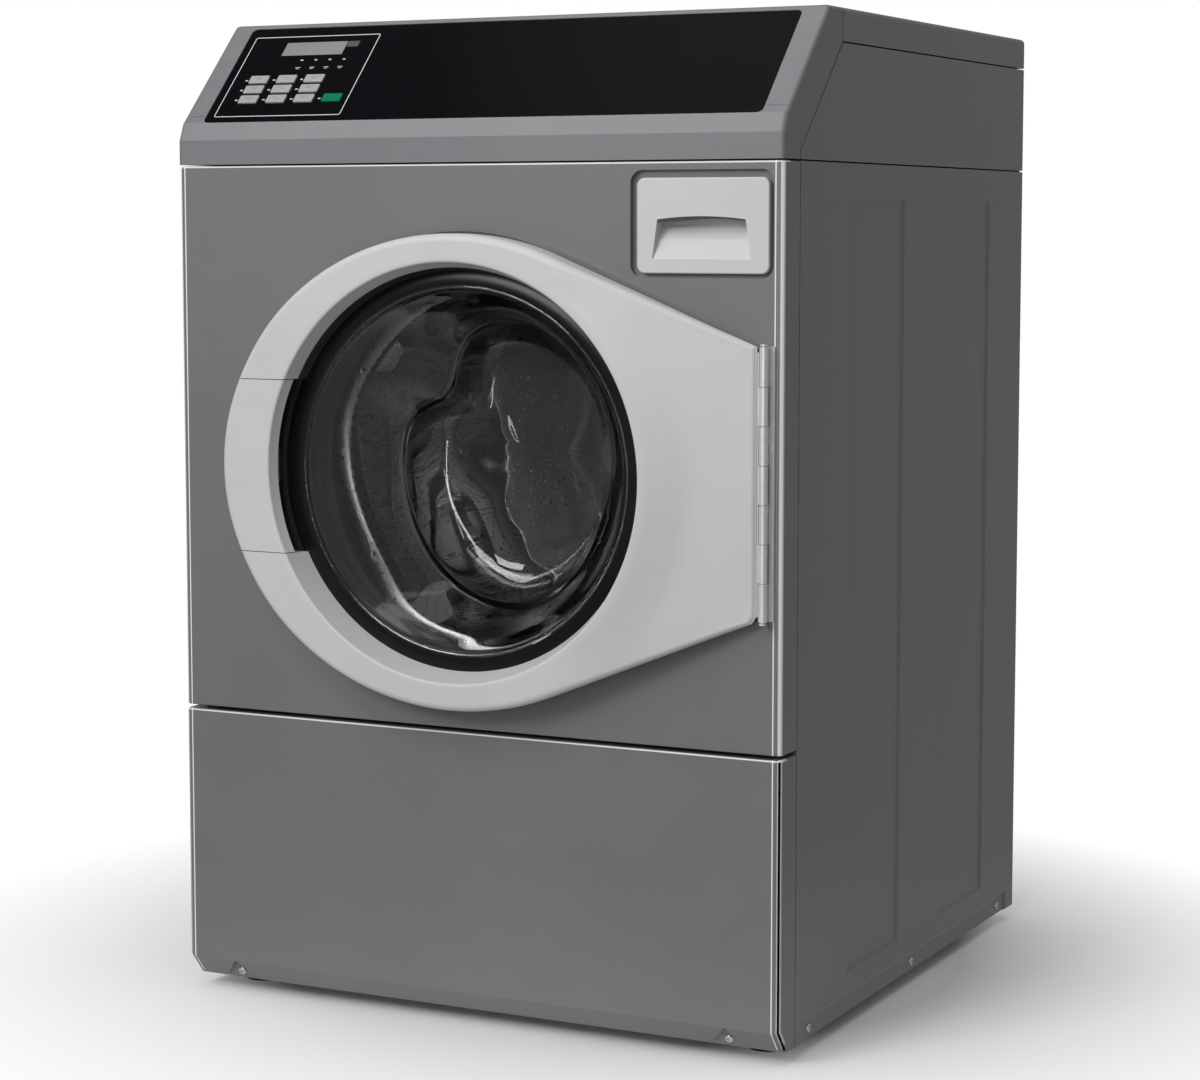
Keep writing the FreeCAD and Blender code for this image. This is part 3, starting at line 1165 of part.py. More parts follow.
def door_bellows():
    # folded rubber collar between the panel's opening and the tub's mouth
    t = 2.6
    r_panel = panel_hole_radius - 0.3
    r_tub = tub_mouth_radius - 0.4
    y0, y1 = front_y + 1.0, tub_front_y + tub_wall
    lip = glass_throat_radius + glass_thick + 1.4
    mid = (front_y + 26, front_y + 46)
    outer = [(r_panel, y0), (r_panel, front_y + 15), (r_panel + 2.4, mid[0]), (r_panel + 2.4, mid[1]),
             (r_tub, mid[1] + 9), (r_tub, y1)]
    inner = [(r - t, y) for r, y in reversed(outer)]
    inner[-3] = (inner[-3][0], inner[-3][1] + t)
    inner[-4] = (inner[-4][0], inner[-4][1] - t)
    points = outer + inner[:-1] + [(r_panel - t, front_y + 8), (lip + 2, front_y + 8), (lip, front_y + 3),
                                   (lip + 1.5, front_y + 1.5), (r_panel - t, y0)]
    return turned(points)


def suspension_springs():
    # close-wound pull springs with straight hook ends, hung between the rails and the tub lugs
    springs = []
    top = console_bottom - seam - 2.0
    low = spring_low()
    coil_low, coil_high = low + 34, top - 44
    turns = int((coil_high - coil_low) / spring_wire)
    pitch = (coil_high - coil_low) / turns
    r = spring_coil_radius
    for side in (1, -1):
        for y in spring_places():
            x = side * spring_x
            p = lambda rr, zz: Vector(x + rr, y, zz)
            edges = [Part.makeLine(p(r - 2.2, coil_low), p(r, coil_low))]
            for i in range(turns):
                z = coil_low + i * pitch
                edges.append(Part.Arc(p(r, z), p(r + pitch * 0.4, z + pitch / 2), p(r, z + pitch)).toShape())
            edges += [Part.makeLine(p(r, coil_high), p(r - 2.2, coil_high)),
                      Part.makeLine(p(r - 2.2, coil_high), p(r - 2.2, coil_low))]
            coil = Part.Face(Part.Wire(edges)).revolve(Vector(x, y, 0), Vector(0, 0, 1), 360)
            for z0, z1, disc in ((coil_high - 1, top + 6, coil_high - 1), (low - 14, coil_low + 1, coil_low - 1)):
                coil = coil.fuse(rod_z(spring_wire / 2, x, y, z0, z1)).fuse(rod_z(r, x, y, disc, disc + 2))
            coil = coil.fuse(rod_z(spring_wire + 2.4, x, y, top + 2.2, top + 6))
            coil = coil.fuse(rod_z(spring_wire + 2.4, x, y, low - 14, low - 8.3))
            springs += coil.Solids
    return Part.makeCompound(springs)


def damper_cylinders():
    solids = []
    z0 = skirt_z + 2.0 + 9.0
    for side in (1, -1):
        for y in (damper_front, damper_rear):
            x = side * damper_x
            tube = rod_z(damper_radius, x, front_y + y, z0, z0 + 165).cut(
                rod_z(damper_rod_radius + 3.0, x, front_y + y, z0 + 12, z0 + 160))
            tube = tube.cut(rod_z(damper_rod_radius + 0.1, x, front_y + y, z0 + 150, z0 + 170))
            solids += tube.Solids
    return Part.makeCompound(solids)


def damper_rods():
    solids = []
    z0 = skirt_z + 2.0 + 9.0
    for side in (1, -1):
        for y in (damper_front, damper_rear):
            x = side * damper_x
            stem = rod_z(damper_rod_radius, x, front_y + y, z0 + 90, damper_top())
            piston = rod_z(damper_rod_radius + 2.7, x, front_y + y, z0 + 90, z0 + 102)
            washer = rod_z(11, x, front_y + y, damper_top() - 5, damper_top())
            solids += stem.fuse(piston).fuse(washer).Solids
    return Part.makeCompound(solids)


# ---------------------------------------------------------------- water and power
def pump_place():
    return pump_x, front_y + pump_front, skirt_z + pump_height


def drain_pump():
    x, y, z = pump_place()
    body = rod_y(38, y, y + 46, x, z).fuse(rod_y(30, y + 46, y + 118, x, z))
    body = body.fuse(rod_y(26, y - 12, y, x, z))
    inlet = rod_z(17, x, y + 20, z + 30, z + 56)
    outlet = rod_y(12, y + 6, y + 60, x - 46, z - 14).fuse(block(x - 46, x - 20, y + 6, y + 30, z - 24, z - 4))
    body = body.fuse(inlet).fuse(outlet)
    body = body.cut(rod_y(31, y + 6, y + 40, x, z)).cut(rod_z(13, x, y + 20, z, z + 60))
    body = body.cut(rod_y(8.5, y + 20, y + 61, x - 46, z - 14))
    foot_block = block(x - 30, x + 11, y + 60, y + 100, skirt_z + 2 + base_sheet, z - 20)
    body = body.fuse(foot_block)
    return body.cut(rod_y(5 + running_clear, y + 38, y + 100, x, z)).removeSplitter()


def pump_impeller():
    x, y, z = pump_place()
    hub = rod_y(9, y + 10, y + 36, x, z).fuse(rod_y(5, y + 30, y + 99, x, z))
    for i in range(6):
        blade = block(x - 1.2, x + 1.2, y + 12, y + 32, z + 6, z + 28)
        blade.rotate(Vector(x, 0, z), Vector(0, 1, 0), 60.0 * i)
        hub = hub.fuse(blade)
    return hub


def hose(points, radius, wall):
    # tube along straight runs joined by tangent arcs as large as the runs allow
    pts = [Vector(*p) for p in points]
    edges, last = [], pts[0]
    for i in range(1, len(pts) - 1):
        a, b = pts[i - 1] - pts[i], pts[i + 1] - pts[i]
        run = min(a.Length, b.Length)
        turn = math.pi - a.getAngle(b)
        r = 0.45 * run / math.tan(turn / 2)
        back = r * math.tan(turn / 2)
        a.normalize()
        b.normalize()
        p0, p2 = pts[i] + a * back, pts[i] + b * back
        bis = a + b
        bis.normalize()
        centre = pts[i] + bis * (r / math.cos(turn / 2))
        p1 = centre - bis * r
        edges.append(Part.makeLine(last, p0))
        edges.append(Part.Arc(p0, p1, p2).toShape())
        last = p2
    edges.append(Part.makeLine(last, pts[-1]))
    path = Part.Wire(edges)
    direction = pts[1] - pts[0]
    rings = []
    for r in (radius, radius - wall):
        ring = Part.Wire(Part.makeCircle(r, pts[0], direction))
        rings.append(path.makePipeShell([ring], True, False))
    return rings[0].cut(rings[1])


def water_hoses():
    px, py, pz = pump_place()
    sump_top = axis_z - tub_radius - 12.0
    sump = hose([(sump_x(), sump_y(), sump_top - 0.5), (sump_x(), sump_y(), sump_top - 42),
                 (px, py + 20, pz + 105), (px, py + 20, pz + 57)], 19, 3)
    out_y, out_z = py + 60.6, pz - 14
    drain = hose([(px - 46, out_y, out_z), (px - 46, out_y + 70, out_z), (drain_x - 22, out_y + 150, out_z + 10),
                  (drain_x - 22, rear_y - 160, drain_z), (drain_x, rear_y - 90, drain_z),
                  (drain_x, rear_y - 24.5, drain_z)], 12, 2.5)
    x0, x1, y0, y1, z0, z1 = tray_box()
    xa, yb, zb = x0 - 1.2, y1 + 6.0, z1 + 6.2
    fill = hose([(xa + 30, yb + 19.0, zb - 14), (xa + 30, yb + 90, zb - 14), (inlet_x - 20, rear_y - 165, inlet_z),
                 (inlet_x, rear_y - 120, inlet_z), (inlet_x, rear_y - 73.0, inlet_z)], 9, 2)
    return Part.makeCompound(sump.Solids + drain.Solids + fill.Solids)


def inlet_valve():
    y0 = rear_y - 3 * sheet
    body = block(inlet_x - 44, inlet_x + 44, y0 - 30, y0 - 8, inlet_z - 20, inlet_z + 20)
    tail = rod_y(8.5, y0 - 68, y0 - 29, inlet_x, inlet_z)
    flange = block(inlet_x - 52, inlet_x + 52, y0 - 9, y0 - 6.2, inlet_z - 26, inlet_z + 26)
    body = body.fuse(tail).fuse(flange).cut(rod_y(5, y0 - 70, y0 - 30, inlet_x, inlet_z))
    for k in (-1, 1):
        x = inlet_x + k * inlet_pitch / 2
        body = body.fuse(rod_y(inlet_radius + boss_step, y0 - 9, rear_y, x, inlet_z))
        body = body.fuse(rod_y(inlet_radius, rear_y - 1, rear_y + inlet_length, x, inlet_z))
        body = body.fuse(rod_z(13, x, y0 - 19, inlet_z + 19, inlet_z + 52))
    for k in (-1, 1):
        x = inlet_x + k * inlet_pitch / 2
        body = body.cut(rod_y(9, y0 - 4, rear_y + inlet_length + 1, x, inlet_z))
    return body.removeSplitter()


def drain_outlet():
    y0 = rear_y - 24.0
    tube = rod_y(drain_radius, y0, rear_y + rear_reach, drain_x, drain_z)
    boss = rod_y(drain_radius + 2 * boss_step, rear_y - 9, rear_y, drain_x, drain_z)
    collar = rod_y(drain_radius + 8, rear_y - 8.5, rear_y - 3.4, drain_x, drain_z)
    return tube.fuse(boss).fuse(collar).cut(
        rod_y(drain_radius - 2.5, y0 - 1, rear_y + rear_reach + 1, drain_x, drain_z))


def power_gland():
    y0, y1 = rear_y - 12.0, rear_y + 16.0
    body = rod_y(gland_bore + 3.0, y0, y1, gland_x, gland_z)
    hexagon = [(gland_x + 14 * math.cos(math.radians(60 * i)), rear_y - sheet - 0.2,
                gland_z + 14 * math.sin(math.radians(60 * i))) for i in range(6)]
    nut = Part.Face(polygon(hexagon)).extrude(Vector(0, 6, 0))
    lock = rod_y(gland_bore + 7, y0 + 3.5, rear_y - 2 * sheet - 0.3, gland_x, gland_z)
    return body.fuse(nut).fuse(lock).cut(rod_y(gland_bore, y0 - 1, y1 + 1, gland_x, gland_z))


# ---------------------------------------------------------------- fasteners
def screw(centre, out, length):
    out = Vector(out)
    out.normalize()
    head = Part.makeCylinder(screw_head_radius, screw_head_height, centre, out)
    rim = [e for e in head.Edges if abs((e.CenterOfMass - centre).dot(out) - screw_head_height) < 1e-3
           and len(e.Vertexes) == 1]
    head = head.makeFillet(screw_head_height * 0.7, rim)
    shank = Part.makeCylinder(screw_shank_radius, length, centre - out * length, out)
    side = out.cross(Vector(0, 0, 1)) if abs(out.z) < 0.9 else Vector(1, 0, 0)
    side.normalize()
    up = out.cross(side)
    body = head.fuse(shank)
    for a, b in ((side, up), (up, side)):
        corner = centre + out * (screw_head_height - 1.1) - a * 3.0 - b * 0.55
        points = [corner, corner + a * 6.0, corner + a * 6.0 + b * 1.1, corner + b * 1.1, corner]
        body = body.cut(Part.Face(Part.makePolygon(points)).extrude(out * 3))
    return body


def panel_screws():
    screws = []
    for side in (1, -1):
        for y in side_screw_y:
            seat = half_width - rib_depth
            screws.append(screw(Vector(side * seat, front_y + y, skirt_z + 9.5), Vector(side, 0, 0), 7.0))
        centre, out = dimple_screw(side * dimple_x)
        screws.append(screw(centre, out, 7.0))
    for x, z in rear_screw_places():
        screws.append(screw(Vector(x, rear_y, z), Vector(0, 1, 0), 7.0))
    return Part.makeCompound(screws)


# ---------------------------------------------------------------- all nodes
def nodes():
    made = {
        "cabinet_wrap": cabinet_wrap(),
        "front_panel": front_panel(),
        "lower_panel": lower_panel(),
        "rear_panel": rear_panel().fuse(service_cover()),
        "base_pan": base_pan(),
        "top_panel": top_panel(),
        "console_sides": console_sides(),
        "console_bezel": console_bezel(),
        "control_overlay": control_overlay(),
        "display_window": display_window(),
        "indicator_lamps": indicator_lamps(),
        "control_board": control_board(),
        "door_outer_ring": door_outer_ring(),
        "door_grip": door_grip(),
        "door_inner_ring": door_inner_ring(),
        "door_glass": door_glass(),
        "door_hinge_leaf": door_hinge_leaf(),
        "door_catch": door_catch(),
        "cabinet_hinge_leaf": cabinet_hinge_leaf(),
        "door_lock": door_lock(),
        "door_bellows": door_bellows(),
        "drawer_front": drawer_front(),
        "drawer_tray": drawer_tray(),
        "dispenser_housing": dispenser_housing(),
        "drum_shell": drum_shell(),
        "drum_lifters": drum_lifters(),
        "drum_spider": drum_spider(),
        "drive_pulley": drive_pulley(),
        "tub_front": tub_front(),
        "tub_rear": tub_rear(),
        "bearing_housing": bearing_housing(),
        "shaft_bearings": shaft_bearings(),
        "drive_belt": drive_belt(),
        "motor_housing": motor_housing(),
        "motor_pulley": motor_pulley(),
        "counterweights": counterweights(),
        "suspension_springs": suspension_springs(),
        "damper_cylinders": damper_cylinders(),
        "damper_rods": damper_rods(),
        "drain_pump": drain_pump(),
        "pump_impeller": pump_impeller(),
        "water_hoses": water_hoses(),
        "inlet_valve": inlet_valve(),
        "drain_outlet": drain_outlet(),
        "power_gland": power_gland(),
        "panel_screws": panel_screws(),
    }
    foot_names = ("foot_front_left", "foot_front_right", "foot_rear_left", "foot_rear_right")
    for name, (x, y) in zip(foot_names, foot_places()):
        made[name] = foot(x, y)
    for name, (x, s) in key_places().items():
        made[name] = key_cap(x, s)
    return made


if __name__ == "__main__":
    os.makedirs("parts", exist_ok=True)
    for name, shape in nodes().items():
        solids = shape.Solids
        kept = solids[0] if len(solids) == 1 else Part.makeCompound(solids)
        print("%-20s solids %2d  valid %s  volume %.1f cm3" % (name, len(solids), kept.isValid(), kept.Volume / 1000))
        kept.exportStep("parts/%s.step" % name)
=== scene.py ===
import bpy
import bmesh
import json
import math
from mathutils import Matrix, Vector


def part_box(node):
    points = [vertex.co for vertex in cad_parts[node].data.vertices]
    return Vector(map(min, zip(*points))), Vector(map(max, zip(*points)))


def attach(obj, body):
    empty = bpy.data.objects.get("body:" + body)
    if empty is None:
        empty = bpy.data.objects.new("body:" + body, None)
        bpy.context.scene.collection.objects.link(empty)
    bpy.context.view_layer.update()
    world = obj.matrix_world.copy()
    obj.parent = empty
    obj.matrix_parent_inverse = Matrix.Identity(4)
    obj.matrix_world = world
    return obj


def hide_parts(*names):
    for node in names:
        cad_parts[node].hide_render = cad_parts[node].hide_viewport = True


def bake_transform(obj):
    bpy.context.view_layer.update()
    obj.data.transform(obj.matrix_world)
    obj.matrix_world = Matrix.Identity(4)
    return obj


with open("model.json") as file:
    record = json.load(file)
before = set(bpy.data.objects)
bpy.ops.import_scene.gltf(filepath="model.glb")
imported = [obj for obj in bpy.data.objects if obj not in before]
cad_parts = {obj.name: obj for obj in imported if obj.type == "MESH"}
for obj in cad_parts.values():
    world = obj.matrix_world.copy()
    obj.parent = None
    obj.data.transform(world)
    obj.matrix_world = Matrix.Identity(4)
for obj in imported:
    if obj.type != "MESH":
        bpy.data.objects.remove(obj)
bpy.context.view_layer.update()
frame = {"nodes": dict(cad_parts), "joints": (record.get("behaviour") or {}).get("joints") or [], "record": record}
cadNodes = frame["nodes"]
slotOf = {s["node"]: s["material_slot"] for s in frame["record"]["subparts"]}


# ---- places that the frame gives

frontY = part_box("front_panel")[0].y
ringLow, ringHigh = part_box("door_outer_ring")
glassLow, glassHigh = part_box("door_glass")
drumLow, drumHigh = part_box("drum_shell")
axisZ = (glassLow.z + glassHigh.z) / 2
pressAxis = Vector(next(j["axis"] for j in frame["joints"] if j["name"] == "start_key_press")).normalized()
slopeOut = -pressAxis                                       # away from the control face
slopeUp = Vector((0, slopeOut.z, -slopeOut.y))              # up the control face
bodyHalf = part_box("cabinet_wrap")[1].x
panelTops = [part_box("lower_panel")[1].z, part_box("front_panel")[1].z]
overlayLift = max(v.co.dot(slopeOut) for v in cadNodes["control_overlay"].data.vertices)


def onSlope(x, up, out=0.0):
    # x across, up along the slope, out from the overlay's face
    return Vector((x, 0, 0)) + slopeUp * up + slopeOut * (overlayLift + out)


def keyCentre(name):
    low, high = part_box(name)
    middle = (low + high) / 2
    return middle.x, middle.dot(slopeUp)


def lastIslandStart(mesh):
    # the least x of the loose part that reaches furthest in x
    work = bmesh.new()
    work.from_mesh(mesh)
    bmesh.ops.remove_doubles(work, verts=work.verts, dist=1e-6)
    island = {max(work.verts, key=lambda v: v.co.x)}
    reached = list(island)
    while reached:
        fresh = {e.other_vert(v) for v in reached for e in v.link_edges} - island
        island |= fresh
        reached = list(fresh)
    start = min(v.co.x for v in island)
    work.free()
    return start


portStart = lastIslandStart(cadNodes["display_window"].data) - 0.0003


# ---- mesh helpers

def finishMesh(name, verts, faces, materials, body, replaced=(), faceMaterial=None, sharpAngle=40):
    mesh = bpy.data.meshes.new(name)
    mesh.from_pydata([tuple(v) for v in verts], [], faces)
    for material in materials:
        mesh.materials.append(material)
    if faceMaterial:
        for polygon in mesh.polygons:
            polygon.material_index = faceMaterial(polygon)
    work = bmesh.new()
    work.from_mesh(mesh)
    bmesh.ops.remove_doubles(work, verts=work.verts, dist=1e-6)
    bmesh.ops.recalc_face_normals(work, faces=work.faces)
    work.to_mesh(mesh)
    work.free()
    for polygon in mesh.polygons:
        polygon.use_smooth = True
    mesh.set_sharp_from_angle(angle=math.radians(sharpAngle))
    piece = bpy.data.objects.new(name, mesh)
    bpy.context.scene.collection.objects.link(piece)
    if isinstance(body, tuple):                                 # a tuple of two bodies and two points: the piece is only baked in place, attached to neither and not bent
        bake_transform(piece)
    else:
        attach(piece, body)
    if replaced:
        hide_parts(*replaced)
    return piece


def latheRings(profile, segments):
    # rows of points round the drum's axis, from (radius, y) pairs
    rows = []
    for step in range(segments):
        angle = 2 * math.pi * step / segments
        rows.append([Vector((r * math.cos(angle), y, axisZ + r * math.sin(angle))) for r, y in profile])
    return rows


def skinRows(rows, closedRows, closedProfile, capEnds=False):
    count = len(rows[0])
    verts = [p for row in rows for p in row]
    faces = []
    for i in range(len(rows) if closedRows else len(rows) - 1):
        k = (i + 1) % len(rows)
        for j in range(count if closedProfile else count - 1):
            m = (j + 1) % count
            faces.append((i * count + j, k * count + j, k * count + m, i * count + m))
    if capEnds:
        faces.append(tuple(range(count)))
        faces.append(tuple((len(rows) - 1) * count + j for j in range(count)))
    return verts, faces


def arcPoints(centre, radius, startDegrees, endDegrees, steps):
    points = []
    for i in range(steps + 1):
        a = math.radians(startDegrees + (endDegrees - startDegrees) * i / steps)
        points.append((centre[0] + radius * math.cos(a), centre[1] + radius * math.sin(a)))
    return points


def linePoints(start, end, steps):
    # points between start and end, without start
    return [(start[0] + (end[0] - start[0]) * i / steps, start[1] + (end[1] - start[1]) * i / steps)
            for i in range(1, steps + 1)]


def smoothStep(value, low, high):
    t = min(1.0, max(0.0, (value - low) / (high - low)))
    return t * t * (3 - 2 * t)


# ---- shader groups

def newGroup(name, inputs, outputs):
    group = bpy.data.node_groups.new(name, "ShaderNodeTree")
    for label, kind, value in inputs:
        socket = group.interface.new_socket(label, in_out="INPUT", socket_type=kind)
        if value is not None:
            socket.default_value = value
    for label, kind in outputs:
        group.interface.new_socket(label, in_out="OUTPUT", socket_type=kind)
    groupIn = group.nodes.new("NodeGroupInput")
    groupOut = group.nodes.new("NodeGroupOutput")
    return group, groupIn, groupOut


def mathNode(tree, operation, first, second=None, clamp=False):
    node = tree.nodes.new("ShaderNodeMath")
    node.operation = operation
    node.use_clamp = clamp
    for index, value in enumerate((first, second)):
        if value is None:
            continue
        if isinstance(value, (int, float)):
            node.inputs[index].default_value = value
        else:
            tree.links.new(value, node.inputs[index])
    return node.outputs[0]


def noiseNode(tree, vector, scale, detail=3.0, roughness=0.5, distortion=0.0):
    node = tree.nodes.new("ShaderNodeTexNoise")
    node.inputs["Detail"].default_value = detail
    node.inputs["Roughness"].default_value = roughness
    node.inputs["Distortion"].default_value = distortion
    if isinstance(scale, (int, float)):
        node.inputs["Scale"].default_value = scale
    else:
        tree.links.new(scale, node.inputs["Scale"])
    tree.links.new(vector, node.inputs["Vector"])
    return node.outputs["Fac"]


def rangeNode(tree, value, fromLow, fromHigh, toLow, toHigh):
    node = tree.nodes.new("ShaderNodeMapRange")
    tree.links.new(value, node.inputs["Value"])
    for label, number in (("From Min", fromLow), ("From Max", fromHigh), ("To Min", toLow), ("To Max", toHigh)):
        node.inputs[label].default_value = number
    return node.outputs["Result"]


def makeGrainGroup():
    # fine grain height and a slow, blotchy variation
    group, groupIn, groupOut = newGroup(
        "surfaceGrain",
        [("Grain Scale", "NodeSocketFloat", 900.0), ("Blotch Scale", "NodeSocketFloat", 6.0)],
        [("Grain", "NodeSocketFloat"), ("Blotch", "NodeSocketFloat")])
    coords = group.nodes.new("ShaderNodeTexCoord").outputs["Object"]
    fine = noiseNode(group, coords, groupIn.outputs["Grain Scale"], 2.0, 0.55)
    slow = noiseNode(group, coords, groupIn.outputs["Blotch Scale"], 5.0, 0.6)
    group.links.new(fine, groupOut.inputs["Grain"])
    group.links.new(rangeNode(group, slow, 0.3, 0.7, 0.0, 1.0), groupOut.inputs["Blotch"])
    return group


def makeWearGroup():
    # edges where the finish rubs thin, broken up by noise
    group, groupIn, groupOut = newGroup(
        "edgeWear",
        [("Radius", "NodeSocketFloat", 0.0015), ("Break Scale", "NodeSocketFloat", 60.0)],
        [("Mask", "NodeSocketFloat")])
    bevel = group.nodes.new("ShaderNodeBevel")
    bevel.samples = 4
    group.links.new(groupIn.outputs["Radius"], bevel.inputs["Radius"])
    geometry = group.nodes.new("ShaderNodeNewGeometry")
    dot = group.nodes.new("ShaderNodeVectorMath")
    dot.operation = "DOT_PRODUCT"
    group.links.new(bevel.outputs["Normal"], dot.inputs[0])
    group.links.new(geometry.outputs["Normal"], dot.inputs[1])
    edge = rangeNode(group, dot.outputs["Value"], 0.995, 0.9, 0.0, 1.0)
    coords = group.nodes.new("ShaderNodeTexCoord").outputs["Object"]
    rough = rangeNode(group, noiseNode(group, coords, groupIn.outputs["Break Scale"], 4.0, 0.65), 0.42, 0.62, 0.0, 1.0)
    group.links.new(mathNode(group, "MULTIPLY", edge, rough, True), groupOut.inputs["Mask"])
    return group


def makeDustGroup():
    # settled dust on what faces up, and soft streaks elsewhere
    group, groupIn, groupOut = newGroup(
        "settledDust", [("Amount", "NodeSocketFloat", 0.2)], [("Mask", "NodeSocketFloat")])
    geometry = group.nodes.new("ShaderNodeNewGeometry")
    split = group.nodes.new("ShaderNodeSeparateXYZ")
    group.links.new(geometry.outputs["Normal"], split.inputs[0])
    upward = rangeNode(group, split.outputs["Z"], 0.2, 1.0, 0.0, 1.0)
    coords = group.nodes.new("ShaderNodeTexCoord").outputs["Object"]
    cloud = rangeNode(group, noiseNode(group, coords, 14.0, 8.0, 0.7), 0.4, 0.75, 0.0, 1.0)
    both = mathNode(group, "MULTIPLY", upward, cloud)
    group.links.new(mathNode(group, "MULTIPLY", both, groupIn.outputs["Amount"], True), groupOut.inputs["Mask"])
    return group


def makeBrushGroup():
    # drawn lines of rolled or turned metal, stretched along one axis
    group, groupIn, groupOut = newGroup(
        "brushedLines",
        [("Stretch", "NodeSocketVector", (1.0, 1.0, 1.0)), ("Line Scale", "NodeSocketFloat", 300.0)],
        [("Lines", "NodeSocketFloat")])
    coords = group.nodes.new("ShaderNodeTexCoord").outputs["Object"]
    stretch = group.nodes.new("ShaderNodeVectorMath")
    stretch.operation = "MULTIPLY"
    group.links.new(coords, stretch.inputs[0])
    group.links.new(groupIn.outputs["Stretch"], stretch.inputs[1])
    lines = noiseNode(group, stretch.outputs[0], groupIn.outputs["Line Scale"], 3.0, 0.6)
    group.links.new(lines, groupOut.inputs["Lines"])
    return group


def makeHoleGroup():
    # staggered holes round the drum's wall; on its back only radial rows of them, zigzagging
    group, groupIn, groupOut = newGroup(
        "punchedHoles",
        [("Pitch", "NodeSocketFloat", 0.016), ("Hole", "NodeSocketFloat", 0.0022),
         ("Zigzag", "NodeSocketFloat", 0.0062)],
        [("Holes", "NodeSocketFloat"), ("Dish", "NodeSocketFloat")])
    coords = group.nodes.new("ShaderNodeTexCoord").outputs["Object"]
    split = group.nodes.new("ShaderNodeSeparateXYZ")
    group.links.new(coords, split.inputs[0])
    across, along = split.outputs["X"], split.outputs["Y"]
    high = mathNode(group, "SUBTRACT", split.outputs["Z"], axisZ)
    angle = mathNode(group, "ARCTAN2", high, across)
    pitch = groupIn.outputs["Pitch"]
    geometry = group.nodes.new("ShaderNodeNewGeometry")
    facing = group.nodes.new("ShaderNodeSeparateXYZ")
    group.links.new(geometry.outputs["Normal"], facing.inputs[0])
    onBack = mathNode(group, "GREATER_THAN", mathNode(group, "ABSOLUTE", facing.outputs["Y"]), 0.7)

    def oddRow(value):
        return mathNode(group, "MODULO", mathNode(group, "ABSOLUTE", mathNode(group, "FLOOR", value)), 2.0)

    def length(first, second):
        squared = mathNode(group, "ADD", mathNode(group, "MULTIPLY", first, first),
                           mathNode(group, "MULTIPLY", second, second))
        return mathNode(group, "SQRT", squared)

    def cell(value):
        return mathNode(group, "MULTIPLY", mathNode(group, "SUBTRACT", mathNode(group, "FRACT", value), 0.5), pitch)

    wallRadius = (drumHigh.x - drumLow.x) / 2
    rows = mathNode(group, "DIVIDE", along, pitch)
    turned = mathNode(group, "DIVIDE", mathNode(group, "MULTIPLY", angle, wallRadius), pitch)
    shifted = mathNode(group, "ADD", turned, mathNode(group, "MULTIPLY", oddRow(rows), 0.5))
    onWallDistance = length(cell(shifted), cell(rows))

    sector = math.pi / 3
    sectorShare = mathNode(group, "ADD", mathNode(group, "DIVIDE", angle, sector), 6.5 - 1.5)
    local = mathNode(group, "MULTIPLY", mathNode(group, "SUBTRACT", mathNode(group, "FRACT", sectorShare), 0.5), sector)
    radius = length(across, high)
    out = mathNode(group, "DIVIDE", mathNode(group, "MULTIPLY", radius, mathNode(group, "COSINE", local)), pitch)
    aside = mathNode(group, "MULTIPLY", radius, mathNode(group, "SINE", local))
    lean = mathNode(group, "SUBTRACT", mathNode(group, "MULTIPLY", oddRow(out), 2.0), 1.0)
    away = mathNode(group, "SUBTRACT", aside, mathNode(group, "MULTIPLY", lean, groupIn.outputs["Zigzag"]))
    onBackDistance = length(away, cell(out))

    distance = mathNode(group, "ADD", mathNode(group, "MULTIPLY", onBackDistance, onBack),
                        mathNode(group, "MULTIPLY", onWallDistance, mathNode(group, "SUBTRACT", 1.0, onBack)))
    ratio = mathNode(group, "DIVIDE", distance, groupIn.outputs["Hole"])
    group.links.new(rangeNode(group, ratio, 1.05, 0.95, 0.0, 1.0), groupOut.inputs["Holes"])
    group.links.new(rangeNode(group, ratio, 1.0, 2.0, 0.0, 1.0), groupOut.inputs["Dish"])
    return group


grainGroup = makeGrainGroup()
wearGroup = makeWearGroup()
dustGroup = makeDustGroup()
brushGroup = makeBrushGroup()
holeGroup = makeHoleGroup()


# ---- materials

def groupNode(tree, group, **values):
    node = tree.nodes.new("ShaderNodeGroup")
    node.node_tree = group
    for label, value in values.items():
        node.inputs[label.replace("_", " ")].default_value = value
    return node


def mixColour(tree, mask, first, second):
    node = tree.nodes.new("ShaderNodeMix")
    node.data_type = "RGBA"
    tree.links.new(mask, node.inputs["Factor"])
    for index, value in ((6, first), (7, second)):
        if isinstance(value, tuple):
            node.inputs[index].default_value = (*value, 1.0)
        else:
            tree.links.new(value, node.inputs[index])
    return node.outputs[2]


def startMaterial(name, look):
    material = bpy.data.materials.new(name)
    material.use_nodes = True
    tree = material.node_tree
    shader = tree.nodes["Principled BSDF"]
    for label, key in (("Metallic", "metallic"), ("Specular IOR Level", "specular"), ("Coat Weight", "coat"),
                       ("Coat Roughness", "coatRoughness"), ("IOR", "ior"), ("Anisotropic", "anisotropic")):
        if key in look:
            shader.inputs[label].default_value = look[key]
    return material, tree, shader


def bumpInto(tree, shader, height, strength, distance):
    bump = tree.nodes.new("ShaderNodeBump")
    bump.inputs["Strength"].default_value = strength
    bump.inputs["Distance"].default_value = distance
    tree.links.new(height, bump.inputs["Height"])
    tree.links.new(bump.outputs["Normal"], shader.inputs["Normal"])


def placeParts(tree):
    split = tree.nodes.new("ShaderNodeSeparateXYZ")
    tree.links.new(tree.nodes.new("ShaderNodeTexCoord").outputs["Object"], split.inputs[0])
    return split.outputs["X"], split.outputs["Y"], split.outputs["Z"]


def pastPlane(tree, x):
    return mathNode(tree, "GREATER_THAN", placeParts(tree)[0], x)


